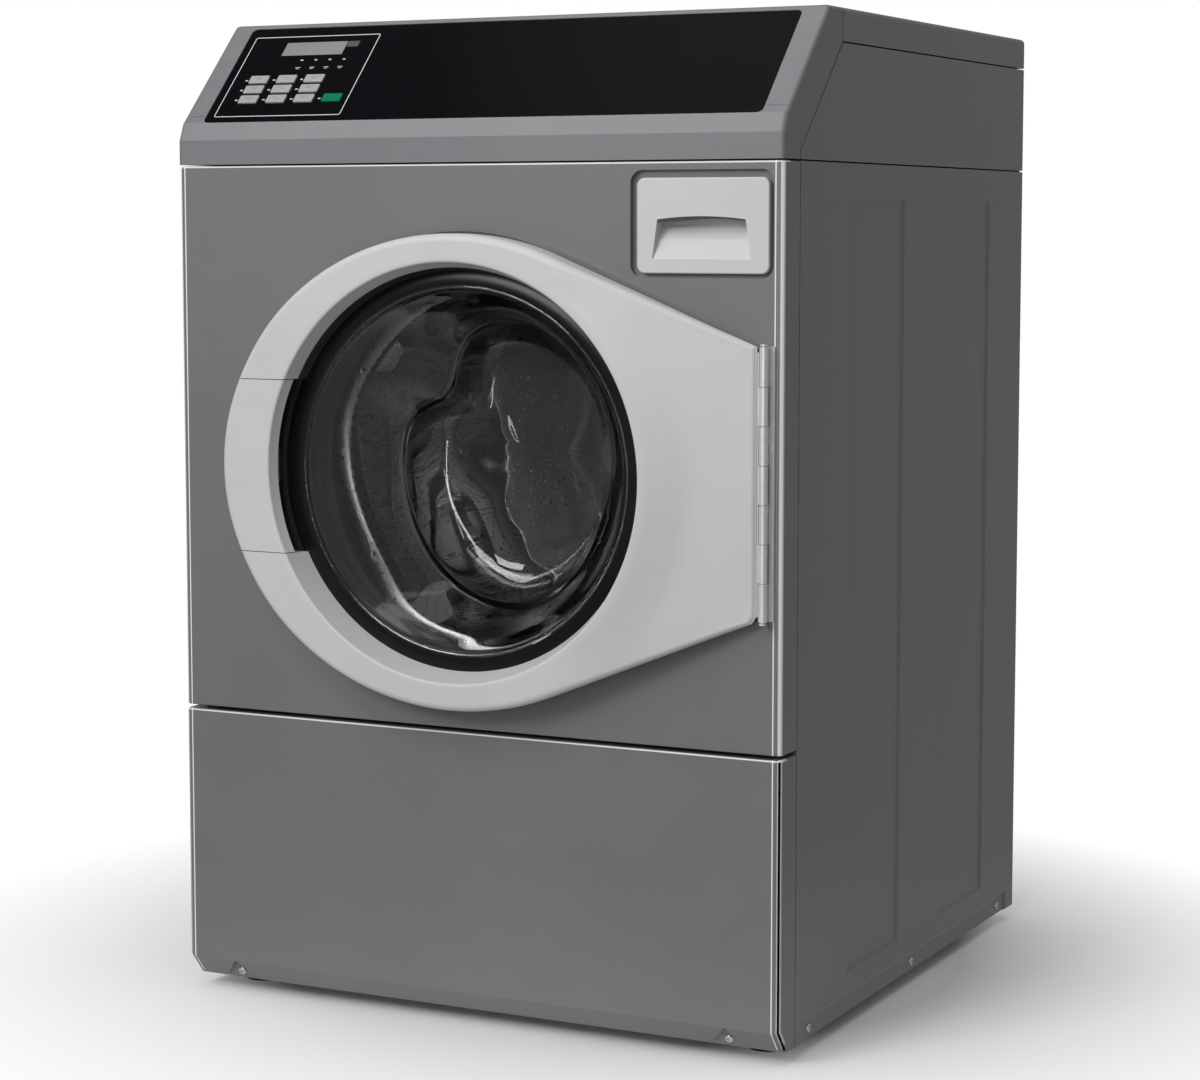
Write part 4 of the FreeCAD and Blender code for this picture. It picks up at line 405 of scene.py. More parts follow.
def paintedHighlightMask(tree, lines):
    # painted highlights: near-white lines beside the front's upright corners and along the panels' tops, for the light
    # their rounded folds catch
    x, y, z = placeParts(tree)
    inset = mathNode(tree, "SUBTRACT", bodyHalf, mathNode(tree, "ABSOLUTE", x))
    mask = None
    for start, end in lines:
        middle, half = (start + end) / 2, (end - start) / 2
        off = mathNode(tree, "ABSOLUTE", mathNode(tree, "SUBTRACT", inset, middle))
        line = rangeNode(tree, off, half, half * 0.4, 0.0, 1.0)
        mask = line if mask is None else mathNode(tree, "ADD", mask, line, True)
    for top in panelTops:
        off = mathNode(tree, "ABSOLUTE", mathNode(tree, "SUBTRACT", z, top - 0.0011))
        mask = mathNode(tree, "ADD", mask, rangeNode(tree, off, 0.0010, 0.0004, 0.0, 0.7), True)
    near = mathNode(tree, "LESS_THAN", y, frontY + 0.016)
    return mathNode(tree, "MULTIPLY", mask, near, True)


def surfaceMaterial(name, look):
    # paint, moulded plastic or rubber: grain, blotches, painted highlight lines, worn edges and dust
    material, tree, shader = startMaterial(name, look)
    grain = groupNode(tree, grainGroup, Grain_Scale=look["grainScale"], Blotch_Scale=look.get("blotchScale", 7.0))
    colour = mixColour(tree, grain.outputs["Blotch"], look["colour"], look["colour2"])
    roughness = rangeNode(tree, grain.outputs["Blotch"], 0.0, 1.0, look["rough"][0], look["rough"][1])
    if "beyond" in look:
        colour = mixColour(tree, pastPlane(tree, look["beyond"]), colour, look["beyondColour"])
    # painted highlights: near-white lines by the front's upright corners and along the panel tops
    if "cornerLines" in look:
        colour = mixColour(tree, paintedHighlightMask(tree, look["cornerLines"]), colour, look["lineColour"])
    if look.get("wear"):
        wear = groupNode(tree, wearGroup, Radius=look.get("wearRadius", 0.0012), Break_Scale=70.0)
        share = mathNode(tree, "MULTIPLY", wear.outputs["Mask"], look["wear"])
        colour = mixColour(tree, share, colour, look["wearColour"])
    if look.get("dust"):
        dust = groupNode(tree, dustGroup, Amount=look["dust"])
        colour = mixColour(tree, dust.outputs["Mask"], colour, (0.55, 0.53, 0.5))
        roughness = mathNode(tree, "ADD", roughness, mathNode(tree, "MULTIPLY", dust.outputs["Mask"], 0.4), True)
    tree.links.new(colour, shader.inputs["Base Color"])
    tree.links.new(roughness, shader.inputs["Roughness"])
    bumpInto(tree, shader, grain.outputs["Grain"], look["bump"], look.get("bumpDepth", 0.0002))
    return material


def metalMaterial(name, look):
    # drawn or cast metal: brushed lines in colour, roughness and height
    material, tree, shader = startMaterial(name, look)
    brush = groupNode(tree, brushGroup, Stretch=look["stretch"], Line_Scale=look["lineScale"])
    grain = groupNode(tree, grainGroup, Grain_Scale=look.get("grainScale", 500.0), Blotch_Scale=5.0)
    mixed = mathNode(tree, "MULTIPLY", brush.outputs["Lines"], grain.outputs["Blotch"])
    colour = mixColour(tree, mixed, look["colour"], look["colour2"])
    low, high = look["rough"]
    tree.links.new(colour, shader.inputs["Base Color"])
    tree.links.new(rangeNode(tree, brush.outputs["Lines"], 0.3, 0.7, low, high), shader.inputs["Roughness"])
    bumpInto(tree, shader, brush.outputs["Lines"], look["bump"], 0.0002)
    return material


def drumMaterial(name, look):
    # perforated stainless sheet
    material, tree, shader = startMaterial(name, look)
    brush = groupNode(tree, brushGroup, Stretch=look["stretch"], Line_Scale=look["lineScale"])
    holes = groupNode(tree, holeGroup, Pitch=look["pitch"], Hole=look["hole"])
    colour = mixColour(tree, brush.outputs["Lines"], look["colour"], look["colour2"])
    colour = mixColour(tree, holes.outputs["Holes"], colour, (0.004, 0.004, 0.004))
    tree.links.new(colour, shader.inputs["Base Color"])
    tree.links.new(rangeNode(tree, brush.outputs["Lines"], 0.3, 0.7, *look["rough"]), shader.inputs["Roughness"])
    metal = mathNode(tree, "SUBTRACT", 1.0, holes.outputs["Holes"])
    tree.links.new(metal, shader.inputs["Metallic"])
    height = mathNode(tree, "ADD", holes.outputs["Dish"], mathNode(tree, "MULTIPLY", brush.outputs["Lines"], 0.1))
    bumpInto(tree, shader, height, look["bump"], 0.0008)
    return material


def glassMaterial(name, look):
    # pressed glass: clear, with slow waves in its faces
    material, tree, shader = startMaterial(name, look)
    shader.inputs["Transmission Weight"].default_value = 1.0
    coords = tree.nodes.new("ShaderNodeTexCoord").outputs["Object"]
    grain = groupNode(tree, grainGroup, Grain_Scale=220.0, Blotch_Scale=9.0)
    tree.links.new(mixColour(tree, grain.outputs["Blotch"], look["colour"], look["colour2"]),
                   shader.inputs["Base Color"])
    tree.links.new(rangeNode(tree, grain.outputs["Grain"], 0.3, 0.7, 0.0, look["haze"]), shader.inputs["Roughness"])
    waves = noiseNode(tree, coords, look["waveScale"], 1.0, 0.4, look["swirl"])
    bumpInto(tree, shader, waves, look["bump"], look["waveDepth"])
    return material


# the body paint's line bands and near-white line colour are painted highlights by the front's upright corners and along
# the panel tops
paintLook = dict(colour=(0.150, 0.142, 0.152), colour2=(0.162, 0.154, 0.164), rough=(0.40, 0.48), specular=0.45,
                 coat=0.5, coatRoughness=0.14, cornerLines=((0.0002, 0.0046), (0.0078, 0.0094)),
                 lineColour=(0.90, 0.89, 0.91), grainScale=1400.0, bump=0.22, bumpDepth=0.00012, wear=0.35,
                 wearColour=(0.30, 0.29, 0.31),
                 wearRadius=0.0012, dust=0.10)
bezelLook = dict(colour=(0.170, 0.163, 0.175), colour2=(0.190, 0.182, 0.195), rough=(0.34, 0.42), specular=0.5,
                 grainScale=1100.0, bump=0.3, bumpDepth=0.00015, wear=0.3, wearColour=(0.36, 0.35, 0.37), dust=0.08)
overlayLook = dict(colour=(0.0018, 0.0018, 0.003), colour2=(0.003, 0.003, 0.0045), rough=(0.2, 0.3), specular=0.04,
                   grainScale=700.0, bump=0.05, bumpDepth=0.0001)
doorLook = dict(colour=(0.525, 0.525, 0.528), colour2=(0.565, 0.565, 0.568), rough=(0.42, 0.52), specular=0.45,
                grainScale=1000.0, bump=0.35, bumpDepth=0.00015, wear=0.25, wearColour=(0.70, 0.70, 0.70),
                wearRadius=0.001, dust=0.05)
looks = {
    "body_paint": (surfaceMaterial, paintLook),
    "bezel_plastic": (surfaceMaterial, bezelLook),
    "overlay_film": (surfaceMaterial, overlayLook),
    "door_plastic": (surfaceMaterial, doorLook),
    "window_film": (surfaceMaterial, dict(colour=(0.21, 0.21, 0.215), colour2=(0.24, 0.24, 0.245), rough=(0.2, 0.3),
                    specular=0.15, beyond=portStart, beyondColour=(0.085, 0.085, 0.088), grainScale=500.0, bump=0.05)),
    "lamp": (surfaceMaterial, dict(colour=(0.50, 0.50, 0.47), colour2=(0.6, 0.6, 0.57), rough=(0.2, 0.3),
             grainScale=900.0, bump=0.1)),
    "key_grey": (surfaceMaterial, dict(colour=(0.31, 0.31, 0.315), colour2=(0.35, 0.35, 0.355), rough=(0.4, 0.5),
                 grainScale=1300.0, bump=0.3, wear=0.4, wearRadius=0.0006, wearColour=(0.75, 0.75, 0.75))),
    "key_green": (surfaceMaterial, dict(colour=(0.001, 0.15, 0.070), colour2=(0.002, 0.18, 0.085), rough=(0.35, 0.45),
                  specular=0.08,
                  grainScale=1300.0, bump=0.3)),
    "inner_plastic": (surfaceMaterial, dict(colour=(0.018, 0.018, 0.019), colour2=(0.028, 0.028, 0.03),
                      rough=(0.35, 0.5), grainScale=900.0, bump=0.3)),
    "seal_rubber": (surfaceMaterial, dict(colour=(0.05, 0.05, 0.053), colour2=(0.075, 0.075, 0.08),
                    rough=(0.5, 0.65), grainScale=700.0, bump=0.35)),
    "hose_rubber": (surfaceMaterial, dict(colour=(0.012, 0.012, 0.012), colour2=(0.02, 0.02, 0.02), rough=(0.5, 0.6),
                    grainScale=600.0, bump=0.3)),
    "belt_rubber": (surfaceMaterial, dict(colour=(0.012, 0.012, 0.012), colour2=(0.02, 0.02, 0.02), rough=(0.6, 0.7),
                    grainScale=600.0, bump=0.4)),
    "housing_plastic": (surfaceMaterial, dict(colour=(0.60, 0.60, 0.58), colour2=(0.66, 0.66, 0.64),
                        rough=(0.35, 0.45), grainScale=700.0, bump=0.2, dust=0.08)),
    "weight_concrete": (surfaceMaterial, dict(colour=(0.28, 0.27, 0.25), colour2=(0.42, 0.41, 0.38), rough=(0.8, 0.95),
                        grainScale=260.0, blotchScale=30.0, bump=0.8, bumpDepth=0.0008)),
    "motor_paint": (surfaceMaterial, dict(colour=(0.03, 0.03, 0.034), colour2=(0.045, 0.045, 0.05), rough=(0.4, 0.5),
                    grainScale=900.0, bump=0.3, wear=0.4, wearColour=(0.3, 0.3, 0.3))),
    "board_green": (surfaceMaterial, dict(colour=(0.01, 0.09, 0.04), colour2=(0.015, 0.13, 0.06), rough=(0.3, 0.4),
                    grainScale=400.0, bump=0.2)),
    "valve_plastic": (surfaceMaterial, dict(colour=(0.05, 0.05, 0.055), colour2=(0.07, 0.07, 0.075),
                      rough=(0.4, 0.5), grainScale=800.0, bump=0.3, wear=0.3, wearColour=(0.2, 0.2, 0.2))),
    "foot_plastic": (surfaceMaterial, dict(colour=(0.015, 0.015, 0.015), colour2=(0.025, 0.025, 0.025),
                     rough=(0.5, 0.6), grainScale=700.0, bump=0.4, dust=0.2)),
    "zinc_sheet": (metalMaterial, dict(colour=(0.42, 0.43, 0.44), colour2=(0.62, 0.63, 0.64), rough=(0.35, 0.55),
                   metallic=0.9, stretch=(1.0, 1.0, 0.25), lineScale=60.0, bump=0.15)),
    "stainless": (metalMaterial, dict(colour=(0.42, 0.42, 0.42), colour2=(0.60, 0.60, 0.60), rough=(0.22, 0.36),
                  metallic=1.0, stretch=(1.0, 0.04, 1.0), lineScale=260.0, bump=0.1)),
    "hinge_steel": (metalMaterial, dict(colour=(0.68, 0.68, 0.69), colour2=(0.85, 0.85, 0.86), rough=(0.3, 0.42),
                    metallic=0.55, stretch=(1.0, 1.0, 0.06), lineScale=700.0, bump=0.1)),
    "tub_steel": (metalMaterial, dict(colour=(0.38, 0.39, 0.40), colour2=(0.56, 0.57, 0.58), rough=(0.3, 0.45),
                  metallic=1.0, stretch=(1.0, 0.05, 1.0), lineScale=240.0, bump=0.12)),
    "cast_alloy": (metalMaterial, dict(colour=(0.45, 0.45, 0.44), colour2=(0.60, 0.60, 0.59), rough=(0.45, 0.6),
                   metallic=0.95, stretch=(1.0, 1.0, 1.0), lineScale=420.0, bump=0.4)),
    "bearing_steel": (metalMaterial, dict(colour=(0.5, 0.5, 0.51), colour2=(0.66, 0.66, 0.67), rough=(0.15, 0.25),
                      metallic=1.0, stretch=(1.0, 0.1, 1.0), lineScale=500.0, bump=0.08)),
    "spring_steel": (metalMaterial, dict(colour=(0.25, 0.25, 0.26), colour2=(0.4, 0.4, 0.41), rough=(0.3, 0.45),
                     metallic=1.0, stretch=(1.0, 1.0, 4.0), lineScale=400.0, bump=0.2)),
    "screw_steel": (metalMaterial, dict(colour=(0.6, 0.6, 0.61), colour2=(0.8, 0.8, 0.81), rough=(0.15, 0.3),
                    metallic=1.0, stretch=(1.0, 1.0, 1.0), lineScale=900.0, bump=0.1)),
    "door_glass": (glassMaterial, dict(colour=(0.74, 0.75, 0.76), colour2=(0.84, 0.85, 0.86), ior=1.5, haze=0.015,
                   waveScale=4.0, swirl=1.2, bump=0.06, waveDepth=0.003, specular=0.8)),
}
rimPrint = surfaceMaterial("rim_print", dict(colour=(0.004, 0.004, 0.0045), colour2=(0.007, 0.007, 0.008),
                           rough=(0.2, 0.3), specular=0.2, grainScale=600.0, bump=0.05))
materialOf = {slot: make(slot, look) for slot, (make, look) in looks.items()}
drumSteel = drumMaterial("drum_perforated", dict(colour=(0.26, 0.26, 0.26), colour2=(0.36, 0.36, 0.36),
                         rough=(0.24, 0.38), stretch=(1.0, 0.04, 1.0), lineScale=240.0, pitch=0.0145, hole=0.0020,
                         bump=0.35))
print("materials made:", len(materialOf) + 1)

for nodeName, node in cadNodes.items():
    for materialSlot in node.material_slots:
        materialSlot.material = materialOf[slotOf[nodeName]]


# ---- door ring and grip

doorSettings = dict(
    frontRadius=0.2075, backRadius=0.1992, creaseRadius=0.256, creaseShare=0.68, innerRound=0.0028, outerRound=0.0075,
    faceFall=0.030, hingeDrop=0.0215, grooveGap=0.0004, stepDegrees=1.25,
    # the last two set the depth where the window bevel's painted shade (black) begins, and how much deeper it begins
    # low down
    lipDepth=0.0125, pocketRadius=0.2175, bevelDepth=0.017, bevelLow=0.019)
halfWidth, hingeEdge = -ringLow.x, ringHigh.x
halfHeight = (ringHigh.z - ringLow.z) / 2
leafLow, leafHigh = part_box("cabinet_hinge_leaf")
hingeHalf = (leafHigh.z - leafLow.z) / 2
faceY, ringBackY = ringLow.y, ringHigh.y
gripLow, gripHigh = (corner.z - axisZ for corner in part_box("door_grip"))


def tangentSlope():
    # slope of the line from the hinge corner that just touches the ellipse
    a = halfWidth ** 2 - hingeEdge ** 2
    b = 2 * hingeEdge * hingeHalf
    c = halfHeight ** 2 - hingeHalf ** 2
    root = math.sqrt(b * b - 4 * a * c)
    return min((-b - root) / (2 * a), (-b + root) / (2 * a))


outlineSlope = tangentSlope()
outlineRise = hingeHalf - outlineSlope * hingeEdge
tangentX = -halfWidth ** 2 * outlineSlope / outlineRise
tangentZ = halfHeight ** 2 / outlineRise


def outlineRadius(angle):
    c, s = math.cos(angle), abs(math.sin(angle))
    if c > 0 and s / c < hingeHalf / hingeEdge:
        return hingeEdge / c
    if c > 0 and s / c < tangentZ / tangentX:
        return outlineRise / (s - outlineSlope * c)
    return halfWidth * halfHeight / math.hypot(halfHeight * c, halfWidth * s)


def faceProfile(angle, d):
    # from the window's front edge outwards and round to the ring's back
    outer = outlineRadius(angle)
    crease = min(d["creaseRadius"], outer - 0.013)
    share = smoothStep(math.cos(angle), 0.05, 0.75)
    slope = (1 - d["creaseShare"]) / (hingeEdge - d["creaseRadius"])
    sink = lambda x: share * d["hingeDrop"] * max(0.0, d["creaseShare"] + (x - d["creaseRadius"]) * slope)
    drop = sink(outer * math.cos(angle))
    outerRound = min(d["outerRound"], (ringBackY - faceY - drop) * 0.85)
    fall = lambda r: faceY + d["faceFall"] * max(0.0, r - d["frontRadius"])
    points = arcPoints((d["frontRadius"] + d["innerRound"], faceY + d["innerRound"]), d["innerRound"], 190, 268, 5)
    points += linePoints(points[-1], (crease, fall(crease) + sink(crease * math.cos(angle))), 5)
    edge = (outer - outerRound, fall(outer - outerRound) + drop)
    points += linePoints(points[-1], edge, 8)
    points += arcPoints((outer - outerRound, edge[1] + outerRound), outerRound, -82, 0, 7)
    points += linePoints(points[-1], (outer, ringBackY), 3)
    return points


def ringProfile(angle, d):
    cone = linePoints((d["backRadius"] + 0.004, ringBackY), (d["backRadius"], ringBackY), 1)
    cone += linePoints(cone[-1], (d["frontRadius"], faceY + d["innerRound"]), 16)
    return cone[:-1] + faceProfile(angle, d)


def gripProfile(angle, d):
    # as the ring, but cut away behind a short lip so that fingers get hold
    share = d["lipDepth"] / (ringBackY - faceY)
    lipRadius = d["frontRadius"] + (d["backRadius"] - d["frontRadius"]) * share
    lipY = faceY + d["lipDepth"]
    points = linePoints((d["pocketRadius"] + 0.004, ringBackY), (d["pocketRadius"], ringBackY), 1)
    points += linePoints(points[-1], (d["pocketRadius"], lipY + 0.002), 2)
    points += linePoints(points[-1], (lipRadius + 0.0012, lipY), 1)
    points += linePoints(points[-1], (lipRadius, lipY - 0.0012), 1)
    points += linePoints(points[-1], (d["frontRadius"], faceY + d["innerRound"]), 3)
    return points[:-1] + faceProfile(angle, d)


def seamAngle(radius, height):
    return math.pi - math.asin(height / radius)


def sweepDoor(profile, startHeight, endHeight, span, d):
    # rows from one level cut to the other; span is the sweep's nominal turn
    middle = (d["frontRadius"] + halfWidth) / 2
    start = seamAngle(middle, startHeight)
    steps = int(abs(math.degrees(span)) / d["stepDegrees"])
    marks = [start + span * i / steps for i in range(steps + 1)]
    corners = [math.atan2(hingeHalf, hingeEdge), math.atan2(tangentZ, tangentX)]
    for corner in corners:
        for sign in (1, -1):
            for turn in (0, 2 * math.pi):
                mark = sign * corner + turn
                if min(marks[0], marks[-1]) < mark < max(marks[0], marks[-1]):
                    marks += [mark - 0.004, mark, mark + 0.004] if corner == corners[0] else [mark]
    marks = sorted(set(marks), reverse=span < 0)
    rows = []
    for mark in marks:
        nearStart = 1 - smoothStep(abs(mark - marks[0]), 0, 0.3)
        nearEnd = 1 - smoothStep(abs(mark - marks[-1]), 0, 0.3)
        row = []
        for r, y in profile(mark, d):
            angle = mark + nearStart * (seamAngle(r, startHeight) - seamAngle(middle, startHeight))
            angle += nearEnd * (seamAngle(r, endHeight) - seamAngle(middle, endHeight))
            row.append(Vector((r * math.cos(angle), y, axisZ + r * math.sin(angle))))
        rows.append(row)
    return rows


def makeDoor(d):
    middle = (d["frontRadius"] + halfWidth) / 2
    top, low = gripHigh + d["grooveGap"], gripLow - d["grooveGap"]
    turn = (seamAngle(middle, low) - seamAngle(middle, top))
    rows = sweepDoor(ringProfile, top, low, turn - 2 * math.pi, d)
    verts, faces = skinRows(rows, False, True, capEnds=True)

    def paintedShadeConeFace(polygon):
        # painted shade: the window's bevel is black deeper in, less of it low down, for the shade inside the window
        middle = polygon.center
        radius = math.hypot(middle.x, middle.z - axisZ)
        low = smoothStep((axisZ - middle.z) / max(radius, 0.01), -0.1, 0.75)
        return 1 if radius < d["frontRadius"] and middle.y > faceY + d["bevelDepth"] + d["bevelLow"] * low else 0

    # the second material, black, is painted shade on the window's bevel
    finishMesh("door_ring", verts, faces, [materialOf["door_plastic"], materialOf["inner_plastic"]], "door",
               ["door_outer_ring"], faceMaterial=paintedShadeConeFace, sharpAngle=35)
    top, low = gripHigh - d["grooveGap"], gripLow + d["grooveGap"]
    turn = seamAngle(middle, low) - seamAngle(middle, top)
    rows = sweepDoor(gripProfile, top, low, turn, d)
    verts, faces = skinRows(rows, False, True, capEnds=True)

    def pocketFace(polygon):
        return 1 if all(math.hypot(verts[i].x, verts[i].z - axisZ) < d["pocketRadius"] + 0.005
                        and verts[i].y > faceY + d["lipDepth"] - 0.001 for i in polygon.vertices) else 0

    finishMesh("door_grip_piece", verts, faces, [materialOf["door_plastic"], materialOf["inner_plastic"]], "door",
               ["door_grip"], faceMaterial=pocketFace, sharpAngle=35)
    print("door ring and grip made")


makeDoor(doorSettings)


# ---- glass bowl

glassSettings = dict(
    thickness=0.005, throatRadius=0.180, throatRound=0.004, noseCentre=(0.016, 0.004), flat=(0.078, 0.100), bend=0.042,
    hook=0.40, hookAngle=2.40, hookWidth=0.34, dome=0.004, waves=0.0009, ridge=0.0036, ridgeShare=0.48, ridgeSway=0.20,
    ridgeWidth=0.11, throatSteps=5, wallSteps=20, bendSteps=14, noseSteps=10, wallShare=0.5, noseShare=0.75,
    printFrom=0.1855, segments=288)


def glassRow(angle, out, phase, g):
    # one line of the bowl from the throat over the wall and the nose towards its middle
    c, s = math.cos(angle), math.sin(angle)
    rimY = glassLow.y
    bend = g["bend"] + out
    noseY = glassHigh.y - g["thickness"] - g["dome"] - g["bend"]
    turn = (angle - g["hookAngle"] + math.pi) % (2 * math.pi) - math.pi
    pull = 1 - g["hook"] * math.exp(-(turn / g["hookWidth"]) ** 2)
    centreX, centreZ = g["noseCentre"]
    flatX, flatZ = centreX + g["flat"][0] * pull * c, centreZ + g["flat"][1] * pull * s
    points = []
    for r, y in arcPoints((g["throatRadius"] + g["throatRound"], rimY + g["throatRound"]),
                          g["throatRound"] - out * 0.5, 270, 180, g["throatSteps"]):
        points.append((r * c, y, r * s, 0.0))
    start = points[-1]
    for i in range(1, g["wallSteps"] + 1):
        t = i / g["wallSteps"]
        points.append((start[0] + (flatX + bend * c - start[0]) * t, start[1] + (noseY - start[1]) * t,
                       start[2] + (flatZ + bend * s - start[2]) * t, g["wallShare"] * t))
    for i in range(1, g["bendSteps"] + 1):
        a = math.pi / 2 * i / g["bendSteps"]
        points.append((flatX + bend * math.cos(a) * c, noseY + bend * math.sin(a), flatZ + bend * math.cos(a) * s,
                       g["wallShare"] + (g["noseShare"] - g["wallShare"]) * i / g["bendSteps"]))
    for i in range(1, g["noseSteps"]):
        k = 1 - i / g["noseSteps"]
        points.append((centreX + (flatX - centreX) * k, noseY + bend + g["dome"] * (1 - k * k),
                       centreZ + (flatZ - centreZ) * k, g["noseShare"] + (1 - g["noseShare"]) * (1 - k)))
    row = []
    for x, y, z, share in points:
        lean = math.pi / 2 * smoothStep(share, 0.45, 0.8)
        fade = smoothStep(share, 0.02, 0.15) * (1 - smoothStep(share, 0.85, 1.0))
        slow = math.sin(3 * angle + 9 * share + phase)
        quick = math.sin(5 * angle - 14 * share + 2 * phase)
        wave = g["waves"] * (slow + 0.6 * quick)
        crest = g["ridgeShare"] + g["ridgeSway"] * math.sin(angle - 2.4 + 0.5 * math.sin(2 * angle))
        wave += g["ridge"] * math.exp(-((share - crest) / g["ridgeWidth"]) ** 2) * (0.4 if out else -1.0)
        wave *= fade
        aside = wave * math.cos(lean)
        row.append(Vector((x + aside * c, y + wave * math.sin(lean), axisZ + z + aside * s)))
    return row


def makeGlass(g):
    rim = (glassHigh.x - glassLow.x) / 2
    rimY = glassLow.y
    thick = g["thickness"]
    shoulder = [(g["printFrom"], rimY), (rim - 0.001, rimY), (rim, rimY + 0.001),
                (rim, rimY + thick - 0.001), (rim - 0.001, rimY + thick),
                (g["throatRadius"] + 0.009, rimY + thick)]
    rows = []
    for step in range(g["segments"]):
        angle = 2 * math.pi * step / g["segments"]
        edge = [Vector((r * math.cos(angle), y, axisZ + r * math.sin(angle))) for r, y in shoulder]
        rows.append(glassRow(angle, 0.0, 0.4, g)[::-1] + edge + glassRow(angle, thick, 2.1, g))
    verts, faces = skinRows(rows, True, False)
    count = len(rows[0])
    nosePoint = glassHigh.y - thick
    for end, y in ((0, nosePoint), (count - 1, glassHigh.y)):
        verts.append(Vector((g["noseCentre"][0], y, axisZ + g["noseCentre"][1])))
        centre = len(verts) - 1
        for i in range(len(rows)):
            faces.append((i * count + end, ((i + 1) % len(rows)) * count + end, centre))

    def rimFace(polygon):
        # the clamped rim is printed black
        middle = polygon.center
        return 1 if math.hypot(middle.x, middle.z - axisZ) > g["printFrom"] and middle.y < rimY + 0.002 else 0

    finishMesh("door_bowl", verts, faces, [materialOf["door_glass"], rimPrint], "door", ["door_glass"],
               faceMaterial=rimFace, sharpAngle=70)
    print("glass bowl made")


makeGlass(glassSettings)


# ---- folded door seal

sealSettings = dict(
    wall=0.0026, folds=3, foldDepth=0.006, panelRadius=0.2057, tubRadius=0.2016, lipRadius=0.1864, lipRound=0.0022,
    frontFlat=0.014, backFlat=0.012, steps=36, segments=144)


def makeSeal(s):
    low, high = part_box("door_bellows")
    panelRadius, tubRadius, lip = s["panelRadius"], s["tubRadius"], s["lipRadius"]
    frontEdge, backEdge = low.y, high.y
    outer = [(panelRadius, frontEdge + 0.0005), (panelRadius, frontEdge + 0.012)]
    start, end = frontEdge + s["frontFlat"], backEdge - s["backFlat"]
    for i in range(s["steps"] + 1):
        t = i / s["steps"]
        base = panelRadius + (tubRadius - panelRadius) * t - s["foldDepth"] * 0.7
        fold = s["foldDepth"] * math.cos(2 * math.pi * s["folds"] * t) * 0.7
        outer.append((base + fold, start + (end - start) * t))
    outer += [(tubRadius, backEdge - 0.008), (tubRadius, backEdge)]
    inner = [(r - s["wall"], y) for r, y in reversed(outer)][:-2]
    nose = [(panelRadius - s["wall"], frontEdge + 0.009), (lip + 0.004, frontEdge + 0.008)]
    nose += arcPoints((lip + s["lipRound"], frontEdge + 0.0045), s["lipRound"], 90, 270, 6)
    nose += [(panelRadius - 0.006, frontEdge + 0.0008)]
    rows = latheRings(outer + inner + nose, s["segments"])
    verts, faces = skinRows(rows, True, True)
    bend = ("cabinet", "tub", (0, start, axisZ), (0, end, axisZ))
    finishMesh("door_seal", verts, faces, [materialOf["seal_rubber"]], bend, ["door_bellows"],
               sharpAngle=60)
    print("door seal made")


makeSeal(sealSettings)


# ---- drum

drumSettings = dict(
    wall=0.002, beadEvery=0.055, bead=0.0022, beadHalf=0.006, mouth=0.188, backHole=0.040, backDish=0.004,
    wallSteps=120, backSteps=24, segments=200)


def makeDrum(d):
    outer = (drumHigh.x - drumLow.x) / 2
    frontEdge, backEdge = drumLow.y, drumHigh.y
    sheet, mouth, hole = d["wall"], d["mouth"], d["backHole"]

    def bead(y):
        phase = (y - frontEdge) / d["beadEvery"]
        nearest = abs(phase - round(phase)) * d["beadEvery"]
        return d["bead"] * max(0.0, 1 - (nearest / d["beadHalf"]) ** 2)

    def wall(offset):
        points = []
        for i in range(d["wallSteps"] + 1):
            y = frontEdge + 0.012 + (backEdge - frontEdge - 0.024) * i / d["wallSteps"]
            points.append((outer - offset - bead(y) - d["bead"] * 0.2, y))
        return points

    shell = [(mouth, frontEdge + 0.012), (mouth, frontEdge + 0.003), (mouth + 0.003, frontEdge)]
    shell += [(outer - 0.006, frontEdge), (outer - 0.001, frontEdge + 0.004)] + wall(0.0)
    shell += [(outer - 0.002, backEdge - 0.003), (outer - 0.005, backEdge)]
    shell += [(outer * k, backEdge) for k in (0.8, 0.6, 0.4)] + [(hole, backEdge)]
    inner = [(hole, backEdge - sheet)]
    for i in range(1, d["backSteps"] + 1):
        r = hole + (outer - 0.010 - hole) * i / d["backSteps"]
        dish = d["backDish"] * smoothStep(r, 0.10, 0.13) * (1 - smoothStep(r, 0.16, 0.20))
        inner.append((r, backEdge - sheet - dish))
    inner += [(outer - sheet - 0.003, backEdge - 0.006)] + wall(sheet)[::-1]
    inner += [(outer - sheet - 0.003, frontEdge + 0.006), (outer - 0.008, frontEdge + sheet),
              (mouth + 0.006, frontEdge + sheet), (mouth + sheet, frontEdge + 0.005),
              (mouth + sheet, frontEdge + 0.012)]
    rows = latheRings(shell + inner, d["segments"])
    verts, faces = skinRows(rows, True, True)
    finishMesh("drum_cylinder", verts, faces, [drumSteel], "drum", ["drum_shell"], sharpAngle=50)
    print("drum made")


makeDrum(drumSettings)


# ---- painted shadow: black strip under the drawer pull's arched lip, for the shade in its finger slot

pullShadowSettings = dict(left=0.0222, right=0.1128, ends=0.0396, rise=0.0030, strip=0.0036, inset=0.0006, depth=0.0012,
                    steps=24)


def makePullShadowStrip(s):
    low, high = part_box("drawer_front")
    rows = []
    for i in range(s["steps"] + 1):
        share = i / s["steps"]
        x = low.x + s["left"] + (s["right"] - s["left"]) * share
        z = high.z - s["ends"] + s["rise"] * (1 - (2 * share - 1) ** 2)
        thin = s["strip"] * (0.45 + 0.55 * math.sin(math.pi * min(1.0, share + 0.25)))
        y = low.y + s["inset"]
        rows.append([Vector((x, y, z)), Vector((x, y, z - thin)), Vector((x, y + s["depth"], z - thin)),
                     Vector((x, y + s["depth"], z))])
    verts, faces = skinRows(rows, False, True, capEnds=True)
    # painted shadow: a black plastic strip flush behind the drawer face, standing in for the finger slot's shade
    finishMesh("drawer_pull_shadow_strip", verts, faces, [materialOf["inner_plastic"]], "drawer")
    print("drawer pull's strip made")


makePullShadowStrip(pullShadowSettings)


# ---- printed legends and lines on the control face

